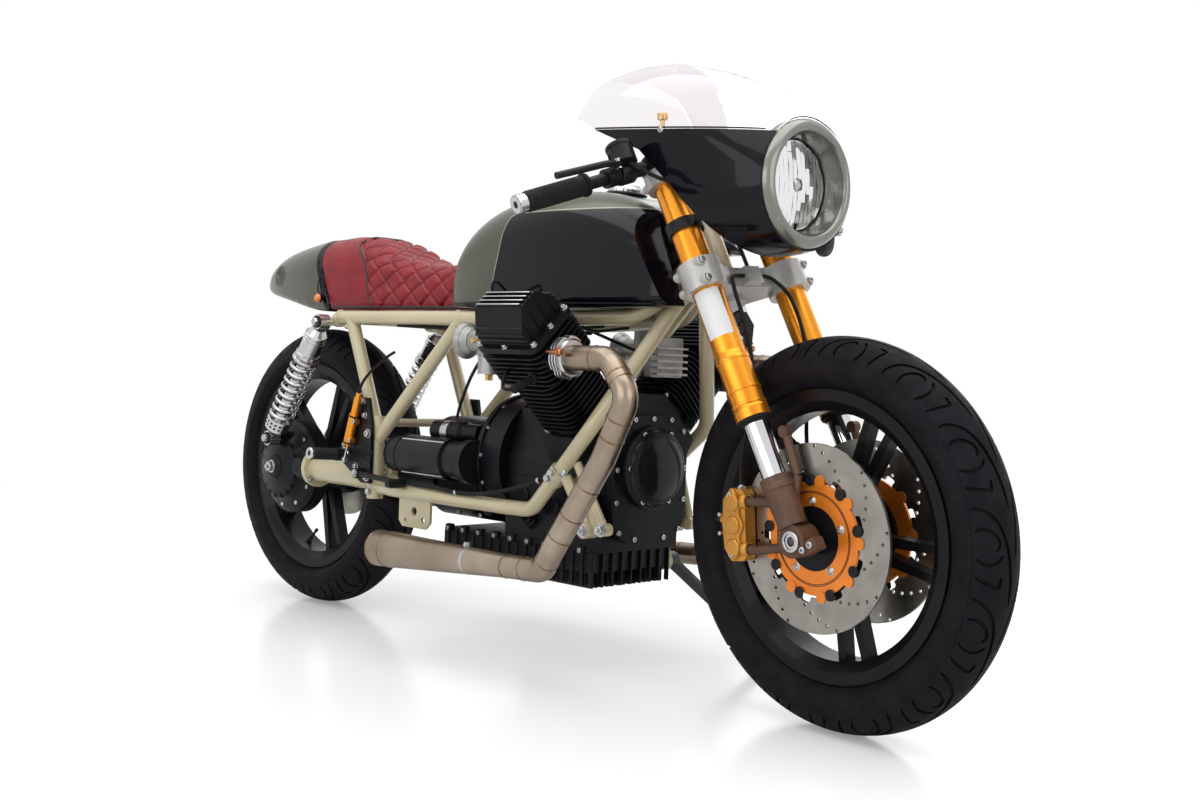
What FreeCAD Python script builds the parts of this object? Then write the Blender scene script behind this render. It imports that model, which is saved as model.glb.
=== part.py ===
"""Cafe racer motorcycle with a transverse V-twin engine, leaning on its side stand.

Every piece is modelled in the upright motorcycle's own frame, in millimetres: +X forward, +Y to the rider's
left, +Z up, with the floor at z = 0 below the middle of the wheelbase and the steering straight ahead.  The
pieces of the fork are modelled in the fork's frame, whose origin is the middle of the front axle and whose +Z
runs up the fork legs.  Placements then turn the steering, lean the motorcycle onto its stand and put the
origin on the floor, under the middle of its bounding box.
"""
import FreeCAD, Part
import math
import os
import re
import Sketcher
from FreeCAD import Placement, Rotation, Vector

# name, value, meaning.  Lengths are in millimetres and angles in degrees.
SIZES = [
    ("wheelbase", 1480, "distance between the axles"),
    ("lean", 4.5, "lean onto the side stand"),
    ("steer", 6, "steering turned to the right while parked"),
    ("rake", 28, "rake of the steering axis"),
    ("fork_offset", 55, "front axle ahead of the steering axis"),
    # wheels
    ("front_radius", 327.5, "front tyre, outer radius"),
    ("front_width", 110, "front tyre, width"),
    ("rear_radius", 325, "rear tyre, outer radius"),
    ("rear_width", 130, "rear tyre, width"),
    ("bead_radius", 228.6, "tyre bead seat of an 18 inch rim"),
    ("flange_radius", 241, "rim flange, outer radius"),
    ("front_bead", 34, "front tyre, half width at the bead"),
    ("rear_bead", 42, "rear tyre, half width at the bead"),
    ("rim_inner", 205, "rim, radius of the inner face"),
    ("rim_gap", 0.4, "gap between the tyre and the rim"),
    ("flange_wall", 5, "rim flange thickness"),
    ("spoke_width", 19, "one spoke of a pair, width at the hub"),
    ("spoke_depth", 26, "spoke depth across the wheel"),
    ("spoke_spread", 9, "half the angle between the spokes of a pair"),
    ("hub_radius", 43, "front hub radius"),
    ("rear_hub_radius", 66, "rear hub radius"),
    ("axle_radius", 12.5, "front axle radius"),
    ("rear_axle_radius", 10, "rear axle radius"),
    ("running_gap", 0.3, "gap between a wheel or hub and what carries it"),
    ("disc_radius", 155, "front brake disc radius"),
    ("disc_place", 67, "front brake disc, distance from the wheel's middle"),
    ("disc_wall", 5, "brake disc thickness"),
    ("disc_inner", 97, "inner radius of the braking ring"),
    ("carrier_radius", 93, "outer radius of the disc carrier"),
    ("carrier_bore", 53, "bore of the disc carrier"),
    ("bobbin_radius", 8, "radius of the bobbins between disc and carrier"),
    ("rear_disc_radius", 121, "rear brake disc radius"),
    # fork
    ("leg_spacing", 104, "fork leg, distance from the middle"),
    ("stanchion_radius", 21.5, "sliding tube radius"),
    ("outer_radius", 27, "outer fork tube radius"),
    ("outer_start", 214, "lower end of the outer tube along the fork"),
    ("fork_top", 722, "top of the fork along the fork"),
    ("lower_yoke", 453, "underside of the lower yoke"),
    ("yoke_depth", 52, "depth of the lower yoke's clamps"),
    ("upper_yoke", 660, "underside of the upper yoke"),
    ("upper_yoke_depth", 28, "depth of the upper yoke"),
    ("stem_radius", 19.7, "steering stem radius"),
    ("stem_gap", 0.3, "gap around the steering stem"),
    ("head_radius", 30, "head tube, outer radius"),
    ("fit_gap", 0.2, "gap between clamped pieces"),
    # frame
    ("tube_radius", 14.5, "frame tube radius"),
    ("rail_height", 673, "height of the upper rails"),
    ("rail_spread", 130, "upper rails, distance from the middle"),
    ("rail_rear", -522, "rear end of the upper rails"),
    ("cradle_height", 311, "height of the lower rails"),
    ("cradle_spread", 146, "lower rails, distance from the middle"),
    ("post_place", -374, "rear posts of the frame"),
    # engine
    ("crank_height", 403, "height of the crankshaft"),
    ("bank_angle", 45, "each cylinder's angle from upright"),
    ("right_bank", 208, "right cylinder, distance ahead of the middle"),
    ("left_bank", 228, "left cylinder, distance ahead of the middle"),
    ("deck", 132, "cylinder base, distance from the crankshaft"),
    ("barrel_radius", 55, "cylinder barrel radius"),
    ("barrel_fin", 62, "barrel fins, half width"),
    ("shoulder", 60, "crankcase shoulder under a cylinder, half width"),
    ("fin_pitch", 10.5, "spacing of the cooling fins"),
    ("fin_wall", 3.5, "thickness of the cooling fins"),
    ("head_start", 264, "cylinder head, distance from the crankshaft"),
    ("head_fin", 80, "head fins, half length along the motorcycle"),
    ("head_spread", 64, "head fins, half width"),
    ("cover_start", 342, "rocker cover, distance from the crankshaft"),
    ("cover_depth", 76, "rocker cover, height"),
    ("alternator_radius", 76, "alternator cover radius"),
    # exhaust
    ("pipe_radius", 22, "exhaust pipe radius"),
    ("megaphone_radius", 36.5, "outlet radius of the megaphone"),
    ("pipe_wall", 2.5, "exhaust wall thickness"),
    ("outlet_depth", 40, "straight mouth of the megaphone"),
]

FORK = "fork"
CHASSIS = "chassis"
RIGHT, LEFT = -1, 1
SIDES = ((RIGHT, "right"), (LEFT, "left"))

doc = FreeCAD.newDocument("cafe_racer")
sheet = doc.addObject("Spreadsheet::Sheet", "sizes")
for row, (word, value, meaning) in enumerate(SIZES, start=1):
    sheet.set(f"A{row}", meaning)
    sheet.set(f"B{row}", str(value))
    sheet.setAlias(f"B{row}", word)
doc.recompute()

WORDS = re.compile(r"\b(" + "|".join(word for word, _, _ in SIZES) + r")\b")
parts = []


def bound(expression):
    """An expression on the sheet's words, as other objects of the document write it."""
    return WORDS.sub(r"sizes.\1", str(expression))


def size(expression):
    """The present value of an expression on the sheet's words."""
    return float(sheet.evalExpression(bound(expression)))


# ---------------------------------------------------------------- frames

def rake_frame():
    """The fork's frame in the upright motorcycle: origin on the front axle, +Z up the legs."""
    axle = Vector(size("wheelbase") / 2, 0, size("front_radius"))
    return Placement(axle, Rotation(Vector(0, 1, 0), -size("rake")))


def steering_turn(angle):
    """The turn about the steering axis, in the upright motorcycle's frame."""
    fork = rake_frame()
    hinge = fork.multVec(Vector(-size("fork_offset"), 0, 0))
    along = fork.Rotation.multVec(Vector(0, 0, 1))
    return Placement(Vector(), Rotation(along, angle), hinge)


def tyre_bottom(pose, centre, radius, width):
    """Lowest point of a round-crowned tyre on a placed wheel."""
    axis = pose.Rotation.multVec(Vector(0, 1, 0))
    crown = width / 2
    return pose.multVec(centre).z - (radius - crown) * math.sqrt(1 - axis.z ** 2) - crown


def parked():
    """The placement that leans the motorcycle and rests both tyres on the floor."""
    half = size("wheelbase") / 2
    front = Vector(half, 0, size("front_radius"))
    rear = Vector(-half, 0, size("rear_radius"))
    lean = Rotation(Vector(1, 0, 0), -size("lean"))
    lift, pitch = 0.0, 0.0
    for _ in range(6):
        pose = Placement(Vector(0, 0, lift), lean.multiply(Rotation(Vector(0, 1, 0), pitch)))
        turned = pose.multiply(steering_turn(-size("steer")))
        low_front = tyre_bottom(turned, front, size("front_radius"), size("front_width"))
        low_rear = tyre_bottom(pose, rear, size("rear_radius"), size("rear_width"))
        lift -= (low_front + low_rear) / 2
        pitch += math.degrees((low_front - low_rear) / size("wheelbase"))
    return pose


POSES = {CHASSIS: parked()}
POSES["steering"] = POSES[CHASSIS].multiply(steering_turn(-size("steer")))
POSES[FORK] = POSES["steering"].multiply(rake_frame())


def spot(x, y, z):
    """A point given by expressions."""
    return Vector(size(x), size(y), size(z))


# ---------------------------------------------------------------- drawing helpers

def new_body(name):
    return doc.addObject("PartDesign::Body", name)


def origin_plane(body, role):
    return [feature for feature in body.Origin.OriginFeatures if feature.Role == role][0]


def constrain(drawn, kind, expression, *where):
    number = drawn.addConstraint(Sketcher.Constraint(kind, *where, size(expression)))
    drawn.setExpression(f"Constraints[{number}]", bound(expression))


def draw_circle(drawn, x, y, radius):
    circle = Part.Circle(Vector(size(x), size(y), 0), Vector(0, 0, 1), size(radius))
    edge = drawn.addGeometry(circle)
    constrain(drawn, "DistanceX", x, -1, 1, edge, 3)
    constrain(drawn, "DistanceY", y, -1, 1, edge, 3)
    constrain(drawn, "Radius", radius, edge)


def arc_between(start, end, radius):
    """The arc under half a turn from start to end: a positive radius turns anticlockwise."""
    half = (end - start) * 0.5
    side = Vector(-half.y, half.x, 0).normalize()
    away = math.sqrt(max(radius * radius - half.Length ** 2, 0))
    centre = start + half + side * math.copysign(away, radius)
    first = math.atan2(start.y - centre.y, start.x - centre.x)
    last = math.atan2(end.y - centre.y, end.x - centre.x)
    circle = Part.Circle(centre, Vector(0, 0, 1), abs(radius))
    if radius > 0:
        return Part.ArcOfCircle(circle, first, last), 1, 2
    return Part.ArcOfCircle(circle, last, first), 2, 1


def draw_loop(drawn, loop):
    """A closed loop of corners (x, y) or (x, y, radius): a radius makes the edge that follows an arc."""
    corners = [Vector(size(corner[0]), size(corner[1]), 0) for corner in loop]
    edges = []
    for number, corner in enumerate(loop):
        start, end = corners[number], corners[(number + 1) % len(loop)]
        if len(corner) == 2:
            edges.append((drawn.addGeometry(Part.LineSegment(start, end)), 1, 2))
            continue
        arc, first, last = arc_between(start, end, size(corner[2]))
        edge = drawn.addGeometry(arc)
        constrain(drawn, "Radius", f"abs({corner[2]})", edge)
        edges.append((edge, first, last))
    for number, corner in enumerate(loop):
        edge, first, last = edges[number]
        follower, its_first, _ = edges[(number + 1) % len(loop)]
        drawn.addConstraint(Sketcher.Constraint("Coincident", edge, last, follower, its_first))
        constrain(drawn, "DistanceX", corner[0], -1, 1, edge, first)
        constrain(drawn, "DistanceY", corner[1], -1, 1, edge, first)


def sketch(body, role, loops, offset="0", flip=False):
    """A sketch on one of the body's origin planes.  flip mirrors it left to right."""
    drawn = body.newObject("Sketcher::SketchObject", body.Name + "_sketch")
    drawn.AttachmentSupport = [(origin_plane(body, role), "")]
    drawn.MapMode = "FlatFace"
    drawn.setExpression("AttachmentOffset.Base.z", bound(offset))
    for loop in loops:
        if loop[0] == "circle":
            _, x, y, radius = loop
            draw_circle(drawn, f"-({x})" if flip else x, y, radius)
        elif flip:
            draw_loop(drawn, [(f"-({c[0]})", c[1], *(f"-({r})" for r in c[2:])) for c in loop])
        else:
            draw_loop(drawn, loop)
    return drawn


def pad(body, drawn, length, back=False, both=False):
    feature = body.newObject("PartDesign::Pad", body.Name + "_pad")
    feature.Profile = drawn
    feature.setExpression("Length", bound(length))
    feature.Reversed = back
    feature.Midplane = both
    return feature


def revolve(body, drawn, axis="V_Axis"):
    feature = body.newObject("PartDesign::Revolution", body.Name + "_turned")
    feature.Profile = drawn
    feature.ReferenceAxis = (drawn, [axis])
    feature.Angle = 360
    return feature


def pocket(body, drawn, length=None, back=False):
    """A pocket of the given depth, or right through both ways when no depth is given."""
    feature = body.newObject("PartDesign::Pocket", body.Name + "_pocket")
    feature.Profile = drawn
    if length is None:
        feature.Type = "ThroughAll"
        feature.Midplane = True
    else:
        feature.setExpression("Length", bound(length))
        feature.Reversed = back
    return feature


def around(body, feature, drawn, count):
    """Repeats a feature about the normal of its sketch."""
    ring = body.newObject("PartDesign::PolarPattern", body.Name + "_ring")
    ring.Originals = [feature]
    ring.Axis = (drawn, ["N_Axis"])
    ring.Angle = 360
    ring.Occurrences = count
    body.Tip = ring
    return ring


def in_line(body, feature, drawn, length, count):
    """Repeats a feature along the normal of its sketch."""
    row_of = body.newObject("PartDesign::LinearPattern", body.Name + "_row")
    row_of.Originals = [feature]
    row_of.Direction = (drawn, ["N_Axis"])
    row_of.setExpression("Length", bound(length))
    row_of.Occurrences = count
    body.Tip = row_of
    return row_of


def rectangle(x0, y0, x1, y1):
    return [(x0, y0), (x1, y0), (x1, y1), (x0, y1)]


def rounded(x0, y0, x1, y1, r):
    """A rectangle with round corners."""
    return [(f"{x0} + {r}", y0), (f"{x1} - {r}", y0, r), (x1, f"{y0} + {r}"), (x1, f"{y1} - {r}", r),
            (f"{x1} - {r}", y1), (f"{x0} + {r}", y1, r), (x0, f"{y1} - {r}"), (x0, f"{y0} + {r}", r)]


def finish(item, label, pose, local=Placement()):
    """Names a sub-part and puts it in its place."""
    item.Label = label
    item.Placement = POSES[pose].multiply(local)
    parts.append((item, label))
    return item


def shaped(shape, label, pose, local=Placement()):
    """A sub-part whose shape is made by code."""
    item = doc.addObject("Part::Feature", label)
    item.Shape = shape
    return finish(item, label, pose, local)


def route(points, bend):
    """Straight runs through the points, joined by tangent arcs of the bend radius."""
    edges = []
    start = points[0]
    for before, corner, after in zip(points, points[1:], points[2:]):
        back = (before - corner).normalize()
        on = (after - corner).normalize()
        half_turn = (math.pi - back.getAngle(on)) / 2
        reach = bend * math.tan(half_turn)
        first, last = corner + back * reach, corner + on * reach
        middle_way = (back + on).normalize()
        centre = corner + middle_way * (bend / math.cos(half_turn))
        edges.append(Part.LineSegment(start, first).toShape())
        edges.append(Part.Arc(first, centre - middle_way * bend, last).toShape())
        start = last
    edges.append(Part.LineSegment(start, points[-1]).toShape())
    return Part.Wire(edges)


def tube(points, radius, bend=60.0):
    """A round bar or closed tube along the route."""
    path = route(points, bend)
    along = (points[1] - points[0]).normalize()
    section = Part.Wire(Part.Circle(points[0], along, radius).toShape())
    return path.makePipeShell([section], True, False)


def rod(start, end, radius):
    return Part.makeCylinder(radius, (end - start).Length, start, end - start)


def fuse(shapes):
    return shapes[0].multiFuse(shapes[1:])


def mirrored(point, side):
    """A point given for the left, on either side."""
    return Vector(point[0], side * point[1], point[2])


# ---------------------------------------------------------------- wheels

def tyre(name, radius, width, bead, pose, local):
    body = new_body(name)
    seat = "flange_radius + 2"
    shoulder = f"{radius} - {width} / 2"
    loop = [("bead_radius", f"-{bead}"), (seat, f"-{bead}", "40"),
            (shoulder, f"-{width} / 2", f"{width} / 2"), (radius, "0", f"{width} / 2"),
            (shoulder, f"{width} / 2", "40"), (seat, bead), ("bead_radius", bead)]
    revolve(body, sketch(body, "XY_Plane", [loop]))
    return finish(body, name, pose, local)


def rim(name, bead, hub, pilot, hub_half, bore, pose, local):
    body = new_body(name)
    inside = f"{bead} + rim_gap"
    outside = f"{bead} + rim_gap + flange_wall"
    seat = "bead_radius - rim_gap"
    loop = [("rim_inner", f"-({bead} - 8)"), ("rim_inner + 17", f"-({outside})"),
            ("flange_radius", f"-({outside})"), ("flange_radius", f"-({inside})"), (seat, f"-({inside})"),
            (seat, f"-({bead} - 14)"), ("rim_inner + 8", f"-({bead} - 19)"), ("rim_inner + 8", f"{bead} - 19"),
            (seat, f"{bead} - 14"), (seat, inside), ("flange_radius", inside), ("flange_radius", outside),
            ("rim_inner + 17", outside), ("rim_inner", f"{bead} - 8")]
    hole = f"{bore} + running_gap"
    step, flange = f"({hub_half} - 5.3)", f"({hub_half} - 12.3)"
    wide = f"{pilot} + 13"
    half_loop = [(hole, hub_half), (pilot, hub_half), (pilot, step), (wide, step), (wide, flange), (hub, flange)]
    hub_loop = [(x, f"-{y}") for x, y in half_loop] + half_loop[::-1]
    revolve(body, sketch(body, "XY_Plane", [hub_loop]))
    spokes(body, hub)
    revolve(body, sketch(body, "XY_Plane", [loop]))
    return finish(body, name, pose, local)


def spokes(body, hub):
    """Five pairs of tapering spokes, each pair spreading towards the rim."""
    near, far = f"{hub} - 6", "rim_inner + 4"
    pair = []
    for sign in (-1, 1):
        near_y = f"({near}) * sin(spoke_spread * 1.3) * {sign}"
        far_y = f"({far}) * sin(spoke_spread * 0.75) * {sign}"
        pair.append([(near, f"{near_y} - spoke_width / 2"), (far, f"{far_y} - spoke_width * 0.36"),
                     (far, f"{far_y} + spoke_width * 0.36"), (near, f"{near_y} + spoke_width / 2")])
    for loop in pair:
        drawn = sketch(body, "XZ_Plane", [loop])
        around(body, pad(body, drawn, "spoke_depth", both=True), drawn, 5)


def bobbin_ring(body, place, radius, depth, cut=False):
    """Nine round bosses, or nine notches, on the circle between the braking ring and its carrier."""
    middle = "(disc_inner + carrier_radius) / 2"
    drawn = sketch(body, "XZ_Plane", [("circle", f"{middle} * cos(20)", f"{middle} * sin(20)", radius)], place)
    feature = pocket(body, drawn) if cut else pad(body, drawn, depth)
    return around(body, feature, drawn, 9)


def front_disc(side, name):
    """The drilled braking ring, with notches for the bobbins and slots between them."""
    body = new_body(name)
    place = f"{-side} * disc_place - disc_wall / 2"
    drawn = sketch(body, "XZ_Plane", [("circle", "0", "0", "disc_radius"), ("circle", "0", "0", "disc_inner")],
                   place)
    pad(body, drawn, "disc_wall")
    bobbin_ring(body, place, "bobbin_radius + fit_gap", "disc_wall", cut=True)
    slots = sketch(body, "XZ_Plane", [rounded("disc_inner - 8", "-10", "disc_inner + 9", "10", "5")], place)
    around(body, pocket(body, slots), slots, 9)
    row_of = [("circle", f"(disc_inner + {14 + 10 * k}) * cos({7 * k})",
               f"(disc_inner + {14 + 10 * k}) * sin({7 * k})", "3") for k in range(5)]
    holes = sketch(body, "XZ_Plane", row_of, place)
    around(body, pocket(body, holes), holes, 9)
    return body


def disc_carrier(side, name):
    """The carrier on the hub, with the nine flanged bobbins that hold the braking ring."""
    body = new_body(name)
    place = f"{-side} * disc_place - disc_wall / 2"
    plate = [("circle", "0", "0", "carrier_radius"), ("circle", "0", "0", "carrier_bore")]
    pad(body, sketch(body, "XZ_Plane", plate, place), "disc_wall")
    bobbin_ring(body, place, "bobbin_radius", "disc_wall")
    bobbin_ring(body, f"{place} - 2", "bobbin_radius + 2", "2")
    bobbin_ring(body, f"{place} + disc_wall", "bobbin_radius + 2", "2")
    return body


def spin(angle):
    """How far a wheel or disc has rolled forward."""
    return Rotation(Vector(0, 1, 0), angle)


def wheels():
    turned = Placement()
    rear = Placement(spot("-wheelbase / 2", "0", "rear_radius"), Rotation())
    tyre("front_tyre", "front_radius", "front_width", "front_bead", FORK, turned)
    front_half = "(disc_place + disc_wall / 2)"
    rim("front_rim", "front_bead", "hub_radius", "carrier_bore - running_gap", front_half, "axle_radius", FORK,
        Placement(Vector(), spin(34.5)))
    tyre("rear_tyre", "rear_radius", "rear_width", "rear_bead", CHASSIS, rear)
    rim("rear_rim", "rear_bead", "rear_hub_radius", "rear_hub_radius - 10", "54", "rear_axle_radius", CHASSIS,
        Placement(rear.Base, spin(3)))
    for label, made in (("front_discs", front_disc), ("disc_carriers", disc_carrier)):
        pair = doc.addObject("Part::Compound", label)
        pair.Links = [made(side, f"{label}_{word}") for side, word in SIDES]
        finish(pair, label, FORK, Placement(Vector(), spin(6)))
    disc = new_body("rear_disc")
    ring = [("circle", "0", "0", "rear_disc_radius"), ("circle", "0", "0", "rear_axle_radius + 6")]
    pad(disc, sketch(disc, "XZ_Plane", [ring[0], ring[1]], "-54 - running_gap - disc_wall"), "disc_wall")
    finish(disc, "rear_disc", CHASSIS, rear)


# ---------------------------------------------------------------- fork

def leg_place(side):
    return Placement(Vector(0, side * size("leg_spacing"), 0), Rotation())


def fork_tubes():
    """The upper tubes: blind bores for the sliding tubes, with a stepped seal housing at the bottom."""
    tubes = []
    for side, word in SIDES:
        body = new_body("outer_tube_" + word)
        bore = "stanchion_radius + fit_gap"
        loop = [(bore, "outer_start"), ("outer_radius + 3", "outer_start"),
                ("outer_radius + 3", "outer_start + 16"), ("outer_radius + 1.5", "outer_start + 20"),
                ("outer_radius + 1.5", "outer_start + 112"),
                ("outer_radius", "outer_start + 120"), ("outer_radius", "fork_top"), ("0", "fork_top"),
                ("0", "fork_top - 40"), (bore, "fork_top - 40")]
        revolve(body, sketch(body, "XZ_Plane", [loop]))
        body.Placement = leg_place(side)
        tubes.append(body)
    pair = doc.addObject("Part::Compound", "fork_tubes")
    pair.Links = tubes
    finish(pair, "fork_tubes", FORK)


def stanchions():
    tubes = []
    for side, word in SIDES:
        tube_item = doc.addObject("Part::Cylinder", "stanchion_" + word)
        tube_item.setExpression("Radius", bound("stanchion_radius"))
        tube_item.setExpression("Height", bound("outer_start + 170"))
        tube_item.Placement = Placement(Vector(0, side * size("leg_spacing"), 62), Rotation())
        tubes.append(tube_item)
    pair = doc.addObject("Part::Compound", "fork_stanchions")
    pair.Links = tubes
    finish(pair, "fork_stanchions", FORK)


def fork_bottom():
    """The right cast fork bottom: socket, axle clamp, two caliper arms and the mudguard lug."""
    out = RIGHT
    leg = size("leg_spacing")
    socket = Part.makeCone(24, 27.5, 80, Vector(0, out * leg, 24))
    lip = Part.makeCylinder(27.5, 6, Vector(0, out * leg, 103))
    clamp = Part.makeCylinder(27, 40, Vector(0, out * (leg - 22), 0), Vector(0, out, 0))
    arms = []
    for start, along in ((Vector(-6, 0, 66), 40), (Vector(-22, 0, -3), -40)):
        end = CALIPER.multVec(Vector(20.3, 0, along))
        knee = CALIPER.multVec(Vector(44, 0, along))
        shift = Vector(0, out * (leg - 14), 0)
        arms.append(tube([start + shift, knee + shift, end + shift], 8, 14))
    lug = [rod(Vector(8, out * (leg - 12), 60), Vector(30, out * (leg - 18), 100), 8),
           rod(Vector(30, out * (leg - 18), 100), Vector(38, out * (leg - 18), 172), 7),
           Part.makeCylinder(10, 14, Vector(38, out * (leg - 18) - 7, 174), Vector(0, 1, 0))]
    solid = fuse([socket, lip, clamp] + arms + lug)
    bore = Part.makeCylinder(size("stanchion_radius + fit_gap"), 60, Vector(0, out * leg, 61.5))
    axle = Part.makeCylinder(size("axle_radius + fit_gap"), 80, Vector(0, out * (leg - 40), 0),
                             Vector(0, out, 0))
    return solid.cut(bore).cut(axle)


# the caliper's frame in the fork's: +X towards the axle, +Z along the body
CALIPER = Placement(Vector(-125, 0, 75), Rotation(Vector(0, 1, 0), 25))


def caliper(side):
    """A brake caliper: two bodies astride the disc, joined by a bridge behind its edge."""
    disc = size("disc_place")
    outline = [(-14, -62), (14, -60), (20, -52), (20, 52), (14, 60), (-12, 62), (-30, 42), (-34, 0), (-30, -42)]
    wire = Part.makePolygon([Vector(x, -29, z) for x, z in outline + outline[:1]])
    block = Part.Face(wire).extrude(Vector(0, 58, 0))
    block.Placement = Placement(Vector(0, side * disc, 0), Rotation()).multiply(CALIPER)
    slot = Part.makeCylinder(size("disc_radius") + 4, size("disc_wall") + 5,
                             Vector(0, side * disc - size("disc_wall") / 2 - 2.5, 0), Vector(0, 1, 0))
    return block.cut(slot)


def lower_fork():
    bottom = fork_bottom()
    shaped(Part.makeCompound([bottom, bottom.mirror(Vector(), Vector(0, 1, 0))]), "fork_bottoms", FORK)
    shaped(Part.makeCompound([caliper(side) for side, _ in SIDES]), "brake_calipers", FORK)
    axle = new_body("front_axle")
    reach = "leg_spacing + 19"
    loop = [("0", f"-({reach})"), ("axle_radius", f"-({reach})"), ("axle_radius", reach), ("0", reach)]
    revolve(axle, sketch(axle, "XY_Plane", [loop]))
    key = sketch(axle, "XZ_Plane", [("circle", "0", "0", "axle_radius - 4.5")], f"{reach} - 20")
    pocket(axle, key, "30", back=True)
    finish(axle, "front_axle", FORK)


def yokes():
    for name, start, depth in (("lower_yoke_casting", "lower_yoke", "yoke_depth"),
                               ("upper_yoke_casting", "upper_yoke", "upper_yoke_depth")):
        body = new_body(name)
        grip = "outer_radius + 11"
        for side, _ in SIDES:
            clamp = sketch(body, "XY_Plane", [("circle", "0", f"{side} * leg_spacing", grip)], start)
            if side == RIGHT:
                pad(body, clamp, depth)
                web = [("-fork_offset - 19", "-24"), ("-16", "-leg_spacing + 6"), ("24", "-leg_spacing + 6"),
                       ("6", "-30"), ("6", "30"), ("24", "leg_spacing - 6"), ("-16", "leg_spacing - 6"),
                       ("-fork_offset - 19", "24")]
                pad(body, sketch(body, "XY_Plane", [web], f"{start} + 8"), f"{depth} - 14")
                boss = sketch(body, "XY_Plane", [("circle", "-fork_offset", "0", "30")], start)
                pad(body, boss, f"{depth} - 6")
            else:
                pad(body, clamp, depth)
        bores = [("circle", "0", f"{side} * leg_spacing", "outer_radius + fit_gap") for side, _ in SIDES]
        pocket(body, sketch(body, "XY_Plane", bores, start))
        if name.startswith("lower"):
            stem = sketch(body, "XY_Plane", [("circle", "-fork_offset", "0", "stem_radius")], start)
            pad(body, stem, "upper_yoke - lower_yoke - running_gap")
            splitter = sketch(body, "XY_Plane", [rectangle("0", "-18", "24", "18")], f"{start} + 10")
            pad(body, splitter, "30")
        finish(body, name.replace("_casting", ""), FORK)


def bar_points(side):
    """Inner and outer end of a handlebar, in the fork's frame."""
    return Vector(-12, side * 132, 706), Vector(-65, side * 385, 649)


def handlebars():
    bars, grips, levers = [], [], []
    leg = size("leg_spacing")
    for side, _ in SIDES:
        inner, outer = bar_points(side)
        along = (outer - inner).normalize()
        clamp = Part.makeCylinder(size("outer_radius") + 9, 26, Vector(0, side * leg, 692))
        neck = rod(Vector(-4, side * (leg + 8), 706), inner + along * 30, 13)
        bar = rod(inner, outer, 11)
        weight = rod(outer - along * 4, outer + along * 14, 15.5)
        hole = Part.makeCylinder(size("outer_radius + fit_gap"), 60, Vector(0, side * leg, 680))
        bars.append(fuse([clamp, neck, bar, weight]).cut(hole))
        grip = rod(outer - along * 134, outer - along * 4.3, 16.5)
        grips.append(grip.cut(rod(inner, outer, 11 + size("fit_gap"))))
        start = inner + along * 78
        forward = Vector(0.55, 0, 0.1)
        perch = rod(start - along * 13, start + along * 13, 17)
        arm = rod(start + forward * 10, start + forward * 62 + along * 6, 7)
        blade = tube([start + forward * 62 + along * 4, start + forward * 84 + along * 40,
                      start + forward * 96 + along * 150], 6, 30)
        lever = fuse([perch, arm, blade])
        if side == RIGHT:
            tank = Part.makeCylinder(23, 34, start + forward * 40 + Vector(0, 0, 4) - along * 18)
            lever = fuse([lever, tank, rod(UNION, UNION + UNION_WAY * 38, 5.5)])
        levers.append(lever.cut(rod(inner, outer, 11 + size("fit_gap"))))
    shaped(Part.makeCompound(bars), "clip_on_bars", FORK)
    shaped(Part.makeCompound(grips), "grips", FORK)
    shaped(Part.makeCompound(levers), "hand_levers", FORK)


def instruments():
    """The gauge above the steering stem, on a short column."""
    cup = Part.makeCone(34, 39, 30, Vector(-72, -22, 716))
    rim_ring = Part.makeCylinder(40, 12, Vector(-72, -22, 746))
    dish = Part.makeCylinder(35, 4, Vector(-72, -22, 755))
    foot = Part.makeCylinder(12, 40, Vector(-58, -12, size("upper_yoke + upper_yoke_depth") - 5.7))
    shaped(fuse([cup, rim_ring, foot]).cut(dish), "instruments", FORK)


# the master cylinder's hose union: its middle and the way it points
UNION = Vector(-2, -189.4, 714)
UNION_WAY = Vector(0.3, 0.62, -0.72).normalize()


def hose(points, diameter=7):
    """A hose through the points: every bend's arc takes 0.45 of its shorter run on each side."""
    edges = []
    start = points[0]
    for before, corner, after in zip(points, points[1:], points[2:]):
        back, on = before - corner, after - corner
        reach = 0.45 * min(back.Length, on.Length)
        half_turn = (math.pi - back.getAngle(on)) / 2
        back.normalize()
        on.normalize()
        bend = reach / math.tan(half_turn)
        print("hose bend radius", round(bend, 1))
        centre = corner + (back + on).normalize() * (bend / math.cos(half_turn))
        first, last = corner + back * reach, corner + on * reach
        middle = centre + (corner - centre).normalize() * bend
        edges += [Part.LineSegment(start, first).toShape(), Part.Arc(first, middle, last).toShape()]
        start = last
    edges.append(Part.LineSegment(start, points[-1]).toShape())
    path = Part.Wire(edges)
    section = Part.Wire(Part.Circle(points[0], points[1] - points[0], diameter / 2).toShape())
    solid = path.makePipeShell([section], True, False)
    print("hose length", round(path.Length, 1), "volume", round(solid.Volume, 1),
          "section x length", round(path.Length * math.pi * diameter ** 2 / 4, 1))
    return solid


# the front brake hoses' routes in the fork's frame: from the union to the splitter, and on to a caliper
UPPER_HOSE = ((40, -122, 640), (54, -88, 600), (44, -44, 560), (15, 0, 530), (15, 0, 493.3))
LOWER_HOSE = ((15, 18.3, 478), (15, 48, 478), (26, 68, 440), (26, 70, 385), (14, 70, 325), (-10, 70, 270),
              (-48, 74, 218))


def brake_hoses():
    start = UNION + UNION_WAY * 38.2
    pieces = [hose([start, start + UNION_WAY * 28] + [Vector(*p) for p in UPPER_HOSE])]
    for side, _ in SIDES:
        points = [mirrored(p, side) for p in LOWER_HOSE]
        for height in (102, 61.4):
            point = CALIPER.multVec(Vector(2, 0, height))
            points.append(Vector(point.x, side * 84, point.z))
        pieces.append(hose(points))
    shaped(Part.makeCompound(pieces), "brake_hoses", FORK)


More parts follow.
